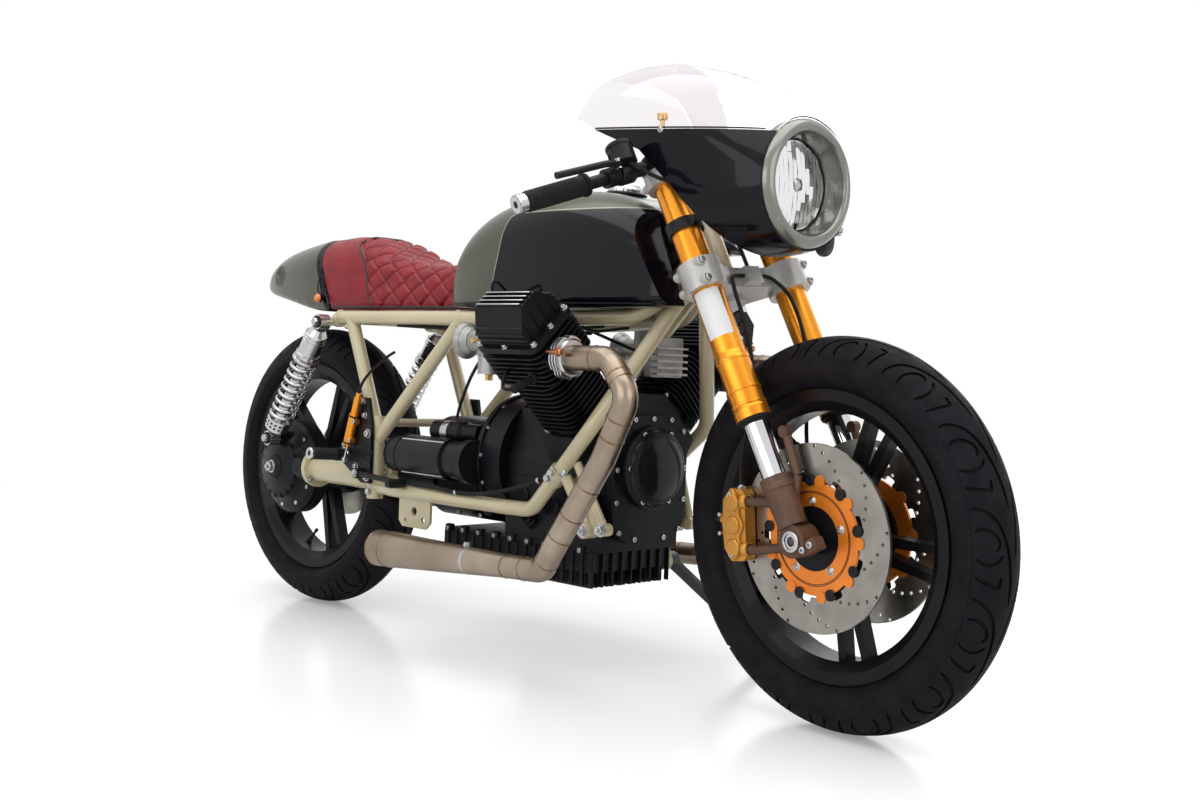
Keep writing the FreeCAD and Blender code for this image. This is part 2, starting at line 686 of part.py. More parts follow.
def mirror():
    """A round mirror behind the end of the left handlebar, on a cranked stalk."""
    inner, outer = bar_points(LEFT)
    along = (outer - inner).normalize()
    end = outer + along * 14.3
    facing = Vector(-0.87, -0.17, 0.46).normalize()
    centre_at = end + Vector(-36, 12, -4)
    shell = fuse([Part.makeCone(22, 36, 8, centre_at - facing * 4, facing),
                  Part.makeCylinder(36, 6, centre_at + facing * 4, facing)])
    knuckle = end + along * 12
    stalk = fuse([rod(end, knuckle + along * 6, 9), rod(knuckle, centre_at - facing * 2, 6)])
    shaped(shell.fuse(stalk), "bar_end_mirror", FORK)


# ---------------------------------------------------------------- fairing and lamp

# x, half width, lowest z, highest z, corner radius of each section of the fairing and screen
NOSE = ((230, 152, 850, 1128, 118), (400, 150, 805, 1135, 120), (540, 134, 788, 1092, 118),
        (655, 112, 795, 1019, 111))


def nose_section(x, half, low, high, corner, inset):
    half, low, high, corner = half - inset, low + inset, high - inset, corner - inset
    return rounded_wire(x, half, low, high, corner, corner)


def rounded_wire(x, half, low, high, low_corner, high_corner):
    """A closed section across the motorcycle: flat sides, and corners of two sizes."""
    def corner(y, z, radius, sy, sz):
        centre = Vector(x, y, z)
        ends = [centre + Vector(0, sy * radius, 0), centre + Vector(0, 0, sz * radius)]
        middle = centre + Vector(0, sy * radius, sz * radius) * math.sqrt(0.5)
        return ends, middle
    low_y, high_y = half - low_corner, half - high_corner
    right_low = corner(-low_y, low + low_corner, low_corner, -1, -1)
    right_high = corner(-high_y, high - high_corner, high_corner, -1, 1)
    left_high = corner(high_y, high - high_corner, high_corner, 1, 1)
    left_low = corner(low_y, low + low_corner, low_corner, 1, -1)
    edges = []
    for (ends, middle), onward, (next_ends, _), next_start in (
            (right_low, 0, right_high, 0), (right_high, 1, left_high, 1),
            (left_high, 0, left_low, 0), (left_low, 1, right_low, 1)):
        arc = Part.Arc(ends[1 - onward], middle, ends[onward]).toShape()
        edges.append(arc)
        if (ends[onward] - next_ends[next_start]).Length > 1e-6:
            edges.append(Part.LineSegment(ends[onward], next_ends[next_start]).toShape())
    return Part.Wire(edges)


def loft(wires):
    return Part.makeLoft(wires, True, False)


def side_cut(points, half=400):
    """A slab whose outline is seen from the side."""
    wire = Part.makePolygon([Vector(x, -half, z) for x, z in points + points[:1]])
    return Part.Face(wire).extrude(Vector(0, 2 * half, 0))


def nose():
    outer = loft([nose_section(*row_of, 0) for row_of in NOSE])
    inner = loft([nose_section(x - 1, *rest, 3) if x < 300 else nose_section(x + (x > 600), *rest, 3)
                  for x, *rest in NOSE])
    shell = outer.cut(inner)
    fairing = side_cut([(285, 1020), (400, 975), (478, 905), (556, 815), (600, 770), (700, 770), (700, 985)])
    screen = side_cut([(285, 1020.6), (100, 1110), (100, 1200), (700, 1200), (700, 985.6)])
    shaped(shell.common(fairing), "fairing", "steering")
    shaped(shell.common(screen), "windscreen", "steering")


def headlight():
    body = new_body("headlight")
    loop = [("0", "-95"), ("40", "-92"), ("88", "-45"), ("100", "-12"), ("108.6", "-8"), ("108.6", "12", "18"),
            ("96", "26", "9"), ("86", "20"), ("77", "-20", "(77 ^ 2 + 10 ^ 2) / 20"), ("0", "-10")]
    revolve(body, sketch(body, "XZ_Plane", [loop]))
    finish(body, "headlight", "steering", Placement(Vector(642, 0, 907), Rotation(Vector(0, 1, 0), 90)))


def lamp_brackets():
    """Clamps on the fork tubes, with arms that carry the lamp and the fairing."""
    fork = rake_frame()
    up = fork.Rotation.multVec(Vector(0, 0, 1))
    pieces = []
    for side, _ in SIDES:
        low = fork.multVec(Vector(0, side * size("leg_spacing"), 566))
        ring = Part.makeCylinder(size("outer_radius") + 6, 20, low, up)
        arm = rod(low + up * 10, Vector(608, side * 104, 900), 6)
        boss = rod(Vector(608, side * 97.5, 900), Vector(608, side * 116.5, 900), 10)
        hole = Part.makeCylinder(size("outer_radius + fit_gap"), 60, low - up * 20, up)
        pieces.append(fuse([ring, arm, boss]).cut(hole))
    shaped(Part.makeCompound(pieces), "lamp_brackets", "steering")


# ---------------------------------------------------------------- frame

def head_ends():
    """Lower and upper end of the head tube."""
    fork = rake_frame()
    low = fork.multVec(Vector(-size("fork_offset"), 0, size("lower_yoke + yoke_depth") - 5.6))
    return low, fork.multVec(Vector(-size("fork_offset"), 0, size("upper_yoke") - 0.4))


def upper_route(side):
    """One upper tube: straight under the seat and tank, then inwards and up to the head tube."""
    rail, spread = size("rail_height"), size("rail_spread")
    low, high = head_ends()
    middle = (low + high) * 0.5
    return [mirrored(p, side) for p in ((size("rail_rear"), spread, rail), (60, spread, rail),
                                        (330, 62, rail + 8), (middle.x - 6, 12, middle.z - 10))]


def backbone():
    """Ends of the tube that runs from a cross tube up to the head tube."""
    low, high = head_ends()
    return Vector(-118, 0, size("rail_height")), (low + high) * 0.5 + Vector(0, 0, 12)


def down_route(side):
    """One front tube: from its bolted joint with the lower rail, before the cylinders, to the head tube."""
    low, _ = head_ends()
    return [mirrored(p, side) for p in ((205.5, 146, 384), (302, 161, 475), (392, 38, 712),
                                        (low.x - 32, 8, low.z + 17.6))]


def frame():
    radius = size("tube_radius")
    rail, spread, post = size("rail_height"), size("rail_spread"), size("post_place")
    head_low, head_high = head_ends()
    pieces = [rod(head_low, head_high, size("head_radius"))]
    for side, _ in SIDES:
        pieces.append(tube(upper_route(side), radius, 90))
        pieces.append(tube(down_route(side), radius, 60))
        runs = (((post, spread, 285), (post, spread, 462), radius + 3),
                ((-481, spread, rail), (post, spread, 436), radius),
                ((-100, spread, rail), (post, spread, 408), radius),
                ((-537, spread, 660), (-537, 192, 660), 7),
                ((-537, spread, rail - 6), (-522, spread, rail - 6), 16))
        pieces += [rod(mirrored(start, side), mirrored(end, side), width) for start, end, width in runs]
    for x, z, width in ((size("rail_rear") + 8, rail, radius), (-118, rail, radius), (post + 1, 300, 9),
                        (post + 2, 447, 9)):
        pieces.append(rod(Vector(x, -spread, z), Vector(x, spread, z), width))
    pieces.append(rod(*backbone(), 24))
    pieces.append(side_cut([(290, 740), (314, 646.3), (336, 646.3), (418, 732), (430, 760)], 4))
    solid = fuse(pieces)
    shaped(solid.cut(rod(head_low, head_high, size("stem_radius + stem_gap"))), "main_frame", CHASSIS)


def cradle_route(side):
    """One lower rail: forward from its rear post, then up to the bolted joint with the front tube."""
    low, post = size("cradle_height"), size("post_place")
    rise = Vector(96.5, 15, 91).normalize()
    joint = Vector(205.5, 146, 384) - rise * 0.3
    bend = joint - rise * ((joint.z - low) / rise.z)
    spread = size("cradle_spread")
    return [mirrored(p, side) for p in ((post + size("tube_radius") + 4, size("rail_spread") + 2, low),
                                        (post + 80, spread, low), (62, spread, low), tuple(bend), tuple(joint))]


def hanger():
    """The drilled plate below the right lower rail."""
    outline = [(-262, 306), (-160, 306), (-160, 254), (-174, 240), (-250, 240), (-262, 252)]
    wire = Part.makePolygon([Vector(x, -149, z) for x, z in outline + outline[:1]])
    plate = Part.Face(wire).extrude(Vector(0, 6, 0))
    holes = [rod(Vector(x, -160, z), Vector(x, -130, z), width) for x, z, width in
             ((-240, 254, 4), (-212, 274, 9), (-182, 258, 6))]
    return plate.cut(fuse(holes))


def cradles():
    """The lower rails, bolted to the front tubes and to the rear posts."""
    for side, word in SIDES:
        pieces = [tube(cradle_route(side), size("tube_radius"), 45)]
        pieces += stand_bracket() if side == LEFT else [hanger()]
        shaped(fuse(pieces), "cradle_" + word, CHASSIS)


def engine_lugs():
    """The front engine mountings: a forked bracket on each front tube, reaching the crankcase's side."""
    pieces = []
    for side, _ in SIDES:
        bolt, foot = (mirrored(p, side) for p in ((266, 118, 287), (306, 118, 292)))
        arms = [rod(mirrored((226, 144, 384), side), bolt, 11), rod(mirrored((250, 140, 410), side), foot, 8.5)]
        bosses = [rod(mirrored((266, 104.3, 287), side), mirrored((266, 134, 287), side), 15),
                  rod(mirrored((306, 108, 292), side), mirrored((306, 128, 292), side), 12)]
        web = side_cut([(214, 368), (244, 392), (306, 300), (300, 284), (262, 278)], 122)
        web = web.common(Part.makeBox(300, 8, 300, Vector(100, 122 * side - 4 - side * 4, 200)))
        solid = fuse(arms + bosses + [web])
        for path in (down_route(side), cradle_route(side)):
            solid = solid.cut(tube(path, size("tube_radius") + 0.3, 45))
        pieces.append(solid)
    shaped(Part.makeCompound(pieces), "engine_lugs", CHASSIS)


STAND_PIVOT = Vector(250, 128, 213)


def stand_bracket():
    """The plate from the left lower rail down to the side stand's pivot bolt."""
    pivot = STAND_PIVOT
    outline = [(186, 306), (222, 306), (262, 232), (262, 206), (240, 200), (226, 216)]
    wire = Part.makePolygon([Vector(x, 105, z) for x, z in outline + outline[:1]])
    plate = Part.Face(wire).extrude(Vector(0, 12.5, 0))
    arm = rod(Vector(172, 140, 346), Vector(203, 113.2, 296), 8)
    boss = rod(Vector(pivot.x, 105, pivot.z), Vector(pivot.x, 117.5, pivot.z), 17)
    bolt = rod(Vector(pivot.x, 110, pivot.z), pivot + Vector(0, 14, 0), 6.9)
    return [plate, arm, boss, bolt]


# ---------------------------------------------------------------- engine

def crankcase():
    body = new_body("crankcase")
    lower = [("-104", "245"), ("104", "245"), ("104", "400"), ("72", "500"), ("-72", "500"), ("-104", "400")]
    pad(body, sketch(body, "YZ_Plane", [lower], "20"), "265")
    out_y = "deck * sin(bank_angle) + shoulder * cos(bank_angle)"
    out_z = "crank_height + deck * cos(bank_angle) - shoulder * sin(bank_angle)"
    in_y = "deck * sin(bank_angle) - shoulder * cos(bank_angle)"
    in_z = "crank_height + deck * cos(bank_angle) + shoulder * sin(bank_angle)"
    decks = [("-104", "398"), ("104", "398"), (out_y, out_z), (in_y, in_z), (f"-({in_y})", in_z),
             (f"-({out_y})", out_z)]
    drawn = sketch(body, "YZ_Plane", [decks], "right_bank - barrel_fin")
    pad(body, drawn, "left_bank - right_bank + 2 * barrel_fin")
    case = rounded("-100", "262", "100", "500", "60")
    pad(body, sketch(body, "YZ_Plane", [case], "284"), "22")
    bell = [("circle", "0", "crank_height - 10", "128")]
    pad(body, sketch(body, "YZ_Plane", bell, "-40"), "62")
    sump = rectangle("-165", "205", "262", "246")
    pad(body, sketch(body, "XZ_Plane", [sump]), "208", both=True)
    fin = sketch(body, "XZ_Plane", [rectangle("-160", "176", "256", "206")], "-98")
    in_line(body, pad(body, fin, "5"), fin, "191", 14)
    finish(body, "crankcase", CHASSIS)


def alternator_cover():
    body = new_body("alternator_cover")
    edge = "alternator_radius"
    loop = [("0", "0"), (edge, "0"), (edge, "10"), (f"{edge} - 8", "22", "14"), (f"{edge} - 20", "28"),
            (f"{edge} * 0.36", "30"), ("0", "34")]
    revolve(body, sketch(body, "XZ_Plane", [loop]))
    place = Placement(spot("306.3", "0", "crank_height"), Rotation(Vector(0, 1, 0), 90))
    finish(body, "alternator_cover", CHASSIS, place)


def cylinder_place(side):
    bank = "right_bank" if side == RIGHT else "left_bank"
    return Placement(spot(bank, "0", "crank_height"), Rotation(Vector(1, 0, 0), -side * size("bank_angle")))


def cylinders():
    for side, word in SIDES:
        body = new_body("cylinder_" + word)
        pad(body, sketch(body, "XY_Plane", [("circle", "0", "0", "barrel_radius")], "deck + running_gap"),
            "head_start - deck")
        square = rounded("-barrel_fin", "-barrel_fin", "barrel_fin", "barrel_fin", "34")
        fin = sketch(body, "XY_Plane", [square], "deck + 16")
        in_line(body, pad(body, fin, "fin_wall"), fin, "fin_pitch * 10", 11)
        core = sketch(body, "XY_Plane", [rounded("-66", "-54", "66", "54", "20")], "head_start")
        pad(body, core, "cover_start - head_start - running_gap")
        wide = rounded("-head_fin", "-head_spread", "head_fin", "head_spread", "24")
        fin = sketch(body, "XY_Plane", [wide], "head_start + 4")
        in_line(body, pad(body, fin, "fin_wall"), fin, "fin_pitch * 6", 7)
        port = sketch(body, "YZ_Plane", [("circle", f"{side} * 22", "head_start + 38", "31")], "54")
        pad(body, port, "head_fin - 54 + 8")
        intake = sketch(body, "YZ_Plane", [("circle", f"{side} * -14", "head_start + 38", "25")], "-54")
        pad(body, intake, "head_fin - 54 + 8", back=True)
        finish(body, "cylinder_" + word, CHASSIS, cylinder_place(side))
        rocker_cover(side, word)


def rocker_cover(side, word):
    body = new_body("rocker_cover_" + word)
    base = rounded("-80", "-60", "80", "60", "18")
    pad(body, sketch(body, "XY_Plane", [base], "cover_start"), "12")
    roof = [("-52", "cover_start + 10"), ("52", "cover_start + 10"), ("50", "cover_start + 40"),
            ("20", "cover_start + cover_depth"), ("-22", "cover_start + cover_depth"),
            ("-50", "cover_start + 40")]
    pad(body, sketch(body, "YZ_Plane", [roof], flip=side == RIGHT), "124", both=True)
    finish(body, "rocker_cover_" + word, CHASSIS, cylinder_place(side))


def gearbox():
    body = new_body("gearbox")
    pad(body, sketch(body, "YZ_Plane", [rounded("-88", "262", "88", "470", "60")], "-240"), "199")
    pad(body, sketch(body, "YZ_Plane", [rounded("-70", "270", "70", "420", "50")], "-322"), "90")
    shaft = sketch(body, "YZ_Plane", [("circle", "-62", "340", "34")], "-340")
    pad(body, shaft, "120")
    finish(body, "gearbox", CHASSIS)
    starter = new_body("starter_motor")
    loop = [("0", "-300"), ("30", "-300"), ("36", "-290"), ("36", "-250"), ("42", "-248"), ("42", "-110"),
            ("38", "-108"), ("38", "-60"), ("44", "-58"), ("44", "-40.3"), ("0", "-40.3")]
    revolve(starter, sketch(starter, "XZ_Plane", [loop]))
    place = Placement(Vector(0, -134, 388), Rotation(Vector(0, 1, 0), 90))
    finish(starter, "starter_motor", CHASSIS, place)


def carburettors():
    for side, word in SIDES:
        place = cylinder_place(side)
        flange = place.multVec(Vector(-size("head_fin") - 8.3, side * -14, size("head_start") + 38))
        throat = rod(flange, flange + Vector(-95, 0, 0), 21)
        mouth = Part.makeCone(22, 33, 22, flange + Vector(-95, 0, 0), Vector(-1, 0, 0))
        chamber = rod(flange + Vector(-50, 0, -62), flange + Vector(-50, 0, -14), 22)
        slide = rod(flange + Vector(-50, 0, 0), flange + Vector(-50, 0, 58), 24)
        shaped(fuse([throat, mouth, chamber, slide]), "carburettor_" + word, CHASSIS)


# ---------------------------------------------------------------- exhaust

MEGAPHONE = ((150, 212, 213), (-250, 205, 198))


def outlet(side):
    """Middle of the megaphone's mouth, and the way it points."""
    start, end = (mirrored(point, side) for point in MEGAPHONE)
    return end, (end - start).normalize()


def exhausts():
    for side, word in SIDES:
        place = cylinder_place(side)
        port = place.multVec(Vector(size("head_fin") + 8.3, side * 22, size("head_start") + 38))
        spread = abs(port.y)
        corners = ((port.x, spread, port.z), (408, spread, port.z), (462, spread + 6, 540),
                   (402, spread - 2, 430), (296, 236, 262), (252, 218, 218), MEGAPHONE[0])
        points = [mirrored(p, side) for p in corners]
        pipe = tube(points, size("pipe_radius"), 38)
        nut = rod(points[0], points[0] + Vector(22, 0, 0), 33)
        end, along = outlet(side)
        start = points[-1]
        mouth = end - along * size("outlet_depth")
        cone = Part.makeCone(size("pipe_radius"), size("megaphone_radius"), (mouth - start).Length, start, along)
        barrel = rod(mouth, end, size("megaphone_radius"))
        inner_cone = Part.makeCone(size("pipe_radius - pipe_wall"), size("megaphone_radius - pipe_wall"),
                                   (mouth - start).Length, start, along)
        solid = fuse([pipe, nut, cone, barrel]).cut(inner_cone)
        bore = rod(mouth - along * 2, end + along * 5, size("megaphone_radius - pipe_wall"))
        shaped(solid.cut(bore), "exhaust_" + word, CHASSIS)


# ---------------------------------------------------------------- rear suspension

def rear_end():
    axle = spot("-wheelbase / 2", "0", "rear_radius")
    pivot = Vector(size("post_place"), 0, axle.z + 20)
    level = axle.z + 5
    drive_face = axle.x + 110
    shaft = tube([Vector(pivot.x, -76, pivot.z), Vector(pivot.x - 62, -106, level),
                  Vector(drive_face, -106, level)], 31, 45)
    arm = tube([Vector(pivot.x, 84, pivot.z), Vector(pivot.x - 62, 106, level + 10),
                Vector(axle.x + 8, 106, axle.z)], 21, 45)
    cross = rod(Vector(pivot.x, -106, pivot.z), Vector(pivot.x, 106, pivot.z), 24)
    pins = rod(Vector(pivot.x, -112, pivot.z), Vector(pivot.x, 112, pivot.z), 9)
    lug = Part.makeCylinder(27, 30, Vector(axle.x, 91, axle.z), Vector(0, 1, 0))
    stay = rod(Vector(-712, 112, 335), Vector(-722, 143, 392), 12)
    stud = rod(Vector(-722, 136, 392), Vector(-722, 192, 392), 7)
    swing = fuse([shaft, arm, cross, pins, lug, stay, stud])
    hole = rod(Vector(axle.x, 60, axle.z), Vector(axle.x, 260, axle.z), size("rear_axle_radius + fit_gap"))
    shaped(swing.cut(hole), "swingarm", CHASSIS)
    drive = new_body("final_drive")
    hole_edge = "rear_axle_radius + fit_gap"
    loop = [(hole_edge, "-54.3"), (hole_edge, "-150"), ("30", "-150"), ("70", "-140", "-40"), ("84", "-118"),
            ("100", "-112"), ("108", "-104"), ("108", "-69"), ("96", "-59.5"), ("30", "-59.5"), ("30", "-54.3")]
    revolve(drive, sketch(drive, "XY_Plane", [loop]))
    lug_side = sketch(drive, "XZ_Plane", [("circle", "18", "67", "16")], "104")
    pad(drive, lug_side, "50")
    stud_side = sketch(drive, "XZ_Plane", [("circle", "18", "67", "7")], "150")
    pad(drive, stud_side, "42")
    nose_side = sketch(drive, "YZ_Plane", [("circle", "-106", "5", "40")], "70")
    pad(drive, nose_side, "39.7")
    finish(drive, "final_drive", CHASSIS, Placement(axle, Rotation()))
    pin = doc.addObject("Part::Cylinder", "rear_axle")
    pin.setExpression("Radius", bound("rear_axle_radius"))
    pin.Height = 304
    finish(pin, "rear_axle", CHASSIS, Placement(axle + Vector(0, 145, 0), Rotation(Vector(1, 0, 0), 90)))


def spring(length):
    """A coil from the collar of the upper can to the lower cup, on the shock absorber's own axis."""
    radius, wire, turns = 25, 3.8, 8
    start, end = 104 + wire + 0.6, length - 60.5 - wire - 0.6
    helix = Part.makeHelix((end - start) / turns, end - start, radius)
    section = Part.Wire(Part.Circle(Vector(radius, 0, 0), Vector(0, 1, 0), wire).toShape())
    coil = Part.Wire(helix.Edges).makePipeShell([section], True, True)
    coil.translate(Vector(0, 0, start))
    return coil


def shocks():
    springs = []
    for side, word in SIDES:
        top, bottom = Vector(-537, side * 170, 660), Vector(-722, side * 170, 392)
        along = bottom - top
        length = along.Length
        body = new_body("shock_" + word)
        loop = [("0", "16"), ("15", "18"), ("24", "34"), ("24", "96"), ("30", "98"), ("30", "104"),
                ("13", "106"), ("13", f"{length - 62}"), ("29", f"{length - 60}"), ("26", f"{length - 30}"),
                ("12", f"{length - 18}"), ("0", f"{length - 16}")]
        revolve(body, sketch(body, "XZ_Plane", [loop]))
        for place in (0, length):
            eye = sketch(body, "XZ_Plane", [("circle", "0", f"{place}", "17")])
            pad(body, eye, "26", both=True)
        turns = sketch(body, "XZ_Plane", [("circle", "0", "0", "7.3"), ("circle", "0", f"{length}", "7.3")])
        pocket(body, turns)
        level = Rotation(Vector(0, 1, 0), math.degrees(math.atan2(along.x, along.z)))
        place = Placement(top, level)
        finish(body, "shock_" + word, CHASSIS, place)
        springs.append(spring(length).transformGeometry(place.toMatrix()))
    shaped(Part.makeCompound(springs), "shock_springs", CHASSIS)


# ---------------------------------------------------------------- tank, seat, tail

# x, half width, lowest z, highest z, lower corner, upper corner
TANK = ((-146, 122, 697, 772, 14, 40), (-126, 130, 695, 826, 16, 56), (-78, 138, 694, 873, 18, 74),
        (10, 143, 694, 907, 18, 86), (140, 145, 694, 919, 18, 90), (270, 138, 694, 905, 18, 84),
        (380, 126, 696, 856, 18, 66), (446, 108, 700, 800, 16, 40))
SADDLE = ((-148, 98, 688, 782, 8, 26), (-200, 101, 688, 782, 8, 27), (-250, 103.5, 688, 783, 8, 28),
          (-300, 106, 688, 787, 8, 30), (-350, 108, 688, 794, 8, 35), (-400, 110, 688, 806, 8, 42),
          (-435, 111, 688, 822, 8, 52), (-470, 112, 688, 838, 8, 62), (-550, 113, 688, 858, 8, 80),
          (-640, 112, 688, 861, 10, 84), (-760, 102, 706, 846, 14, 72), (-860, 84, 722, 820, 14, 46),
          (-930, 60, 734, 782, 12, 22), (-966, 34, 740, 756, 5, 8))


def steering_sweep(near, far, low, high):
    """What the fork passes through behind the steering axis, from lock to lock, on both sides."""
    fork = rake_frame()
    corners = [(near, low), (far, low), (far, high), (near, high)]
    swept = []
    for side, _ in SIDES:
        turn = Rotation(Vector(0, 0, 1), side * 20)
        wire = Part.makePolygon([turn.multVec(Vector(r, 0, 0)) + Vector(-size("fork_offset"), 0, z)
                                 for r, z in corners + corners[:1]])
        hinge = Vector(-size("fork_offset"), 0, 0)
        sector = Part.Face(wire).revolve(hinge, Vector(0, 0, 1), side * 92)
        swept.append(sector.transformGeometry(fork.toMatrix()))
    return swept


def tank():
    """The tank, with room beneath for the backbone, the upper tubes and the turning fork."""
    outer = loft([rounded_wire(*row_of) for row_of in TANK])
    start, end = backbone()
    along = (end - start).normalize()
    below = side_cut([(-400, 600), (-400, start.z), (start.x, start.z), (end.x, end.z), (600, end.z),
                      (600, 600)], 24.3)
    hood = side_cut([(290, 600), (290, 697), (330, 706), (400, 800), (600, 800), (600, 600)], 80)
    _, high = head_ends()
    up = rake_frame().Rotation.multVec(Vector(0, 0, 1))
    notch = Part.makeCylinder(40, 400, high - up * 300, up)
    room = [rod(start - along * 60, end + along * 40, 24.3), below, hood, notch]
    room += [tube(upper_route(side), size("tube_radius") + 0.3, 90) for side, _ in SIDES]
    room += steering_sweep(72, 168, 430, 512) + steering_sweep(73, 163, 511, 760)
    shaped(outer.cut(fuse(room)), "fuel_tank", CHASSIS)
    cap = new_body("filler_cap")
    loop = [("0", "0"), ("33", "0"), ("33", "12"), ("30", "16"), ("12", "18"), ("0", "18")]
    revolve(cap, sketch(cap, "XZ_Plane", [loop]))
    finish(cap, "filler_cap", CHASSIS, Placement(Vector(212, 0, 916), Rotation(Vector(0, 1, 0), 5)))


def seat_and_tail():
    """One swept form, parted by a plane that leans back: the pad in front, the cowl behind."""
    whole = loft([rounded_wire(*row_of) for row_of in SADDLE])
    shaped(whole.common(side_cut([(-100, 600), (-100, 950), (-708, 950), (-594, 688), (-590, 600)])),
           "seat_pad", CHASSIS)
    shaped(whole.common(side_cut([(-1000, 600), (-1000, 950), (-708.6, 950), (-594.6, 688), (-590.6, 600)])),
           "tail_cowl", CHASSIS)


# ---------------------------------------------------------------- controls, stand, electrics

PEG_SLOPE = 3


def peg_start(side):
    """Where a foot peg leaves its plate."""
    return Vector(-452, side * (size("rail_spread + tube_radius") + 11.3), 373)


def peg_way(side):
    """The way a foot peg points: outwards and a little up."""
    slope = math.radians(PEG_SLOPE)
    return Vector(0, side * math.cos(slope), math.sin(slope))


def peg_end(side):
    return peg_start(side) + peg_way(side) * 92


def rearsets():
    plates = []
    for side, _ in SIDES:
        outline = [(-360, 318), (-360, 438), (-374, 500), (-414, 500), (-424, 440), (-466, 392), (-466, 360),
                   (-392, 318)]
        inner = side * (size("rail_spread") + size("tube_radius") + 3.3)
        wire = Part.makePolygon([Vector(x, inner, z) for x, z in outline + outline[:1]])
        plate = Part.Face(wire).extrude(Vector(0, side * 8, 0))
        start, way = peg_start(side), peg_way(side)
        peg = rod(start - way * 5, start + way * 92, 11)
        collar = rod(start - way * 5, start + way * 22, 14)
        plates.append(fuse([plate, peg, collar]))
    shaped(Part.makeCompound(plates), "rearsets", CHASSIS)


def foot_levers():
    """The brake pedal and the gear lever, each on a pivot outside its plate."""
    face = size("rail_spread + tube_radius") + 11.6
    pieces = []
    for side, _ in SIDES:
        pivot, toe = (-392, face, 338), (-236, face + 12, 330)
        boss = rod(mirrored(pivot, side), mirrored((-392, face + 16, 338), side), 11)
        arm = rod(mirrored((-392, face + 9, 338), side), mirrored(toe, side), 6)
        near, far = (toe[0], toe[1] - 9, toe[2]), (toe[0], toe[1] + 34, toe[2])
        tread = rod(mirrored(near, side), mirrored(far, side), 8)
        pieces.append(fuse([boss, arm, tread]))
    shaped(Part.makeCompound(pieces), "foot_levers", CHASSIS)


def rear_master():
    """The rear brake's master cylinder, upright on the right plate, with its hose union on top."""
    y = -(size("rail_spread + tube_radius") + 11.6 + 10.5)
    low, high = Vector(-428, y, 398), Vector(-396, y, 500)
    along = (high - low).normalize()
    body = rod(low, low + along * 70, 10.5)
    cap = rod(low + along * 70, high, 8)
    union = rod(high, high + along * 10, 6)
    ears = [rod(low + along * reach, low + along * reach + Vector(14, 0, -5), 7) for reach in (14, 56)]
    pushrod = rod(low - along * 9, low, 3)
    shaped(fuse([body, cap, union, pushrod] + ears), "rear_master", CHASSIS)


def side_stand():
    pivot, foot = STAND_PIVOT, Vector(384, 276, 38)
    leg = rod(pivot, foot, 12)
    boss = Part.makeCylinder(17, 20, pivot - Vector(0, 10, 0), Vector(0, 1, 0))
    bolt = Part.makeCylinder(7, 44, pivot - Vector(0, 24, 0), Vector(0, 1, 0))
    pose = POSES[CHASSIS]
    level = pose.inverse()
    ground = level.multVec(Vector(pose.multVec(foot).x, pose.multVec(foot).y, 0))
    plate = Part.makeCylinder(26, 8)
    plate.Placement = Placement(ground, level.Rotation)
    column = rod(ground + Vector(0, 0, 6), foot, 12)
    shaped(fuse([leg, boss, plate, column]).cut(bolt), "side_stand", CHASSIS)


def regulator():
    body = new_body("regulator")
    pad(body, sketch(body, "YZ_Plane", [rounded("-44", "572", "44", "646", "6")], "318"), "16")
    for height in range(0, 60, 12):
        fin = rectangle("-42", f"576 + {height}", "42", f"580 + {height}")
        pad(body, sketch(body, "YZ_Plane", [fin], "333"), "16")
    finish(body, "regulator", CHASSIS)


# ---------------------------------------------------------------- build, place, check and write

def build():
    wheels()
    fork_tubes()
    stanchions()
    lower_fork()
    yokes()
    handlebars()
    instruments()
    brake_hoses()
    mirror()
    nose()
    headlight()
    lamp_brackets()
    frame()
    cradles()
    engine_lugs()
    crankcase()
    alternator_cover()
    cylinders()
    gearbox()
    carburettors()
    exhausts()
    rear_end()
    shocks()
    tank()
    seat_and_tail()
    rearsets()
    foot_levers()
    rear_master()
    side_stand()
    regulator()


def centre():
    """Moves every sub-part so that the origin is on the floor under the middle of the bounding box."""
    doc.recompute()
    boxes = [item.Shape.optimalBoundingBox(False) for item, _ in parts]
    middle_x = (min(b.XMin for b in boxes) + max(b.XMax for b in boxes)) / 2
    middle_y = (min(b.YMin for b in boxes) + max(b.YMax for b in boxes)) / 2
    shift = Vector(-middle_x, -middle_y, 0)
    for item, _ in parts:
        item.Placement.Base = item.Placement.Base + shift
    doc.recompute()
    return shift


def check_and_write():
    for item in doc.Objects:
        if {"Invalid", "Error"} & set(item.State):
            raise RuntimeError(f"{item.Name} failed: {item.State}")
    for item, label in parts:
        if item.Shape.isNull() or not item.Shape.isValid():
            raise RuntimeError(f"{label} has no valid shape")
    os.makedirs("parts", exist_ok=True)
    for item, label in parts:
        item.Shape.exportStep(f"parts/{label}.step")


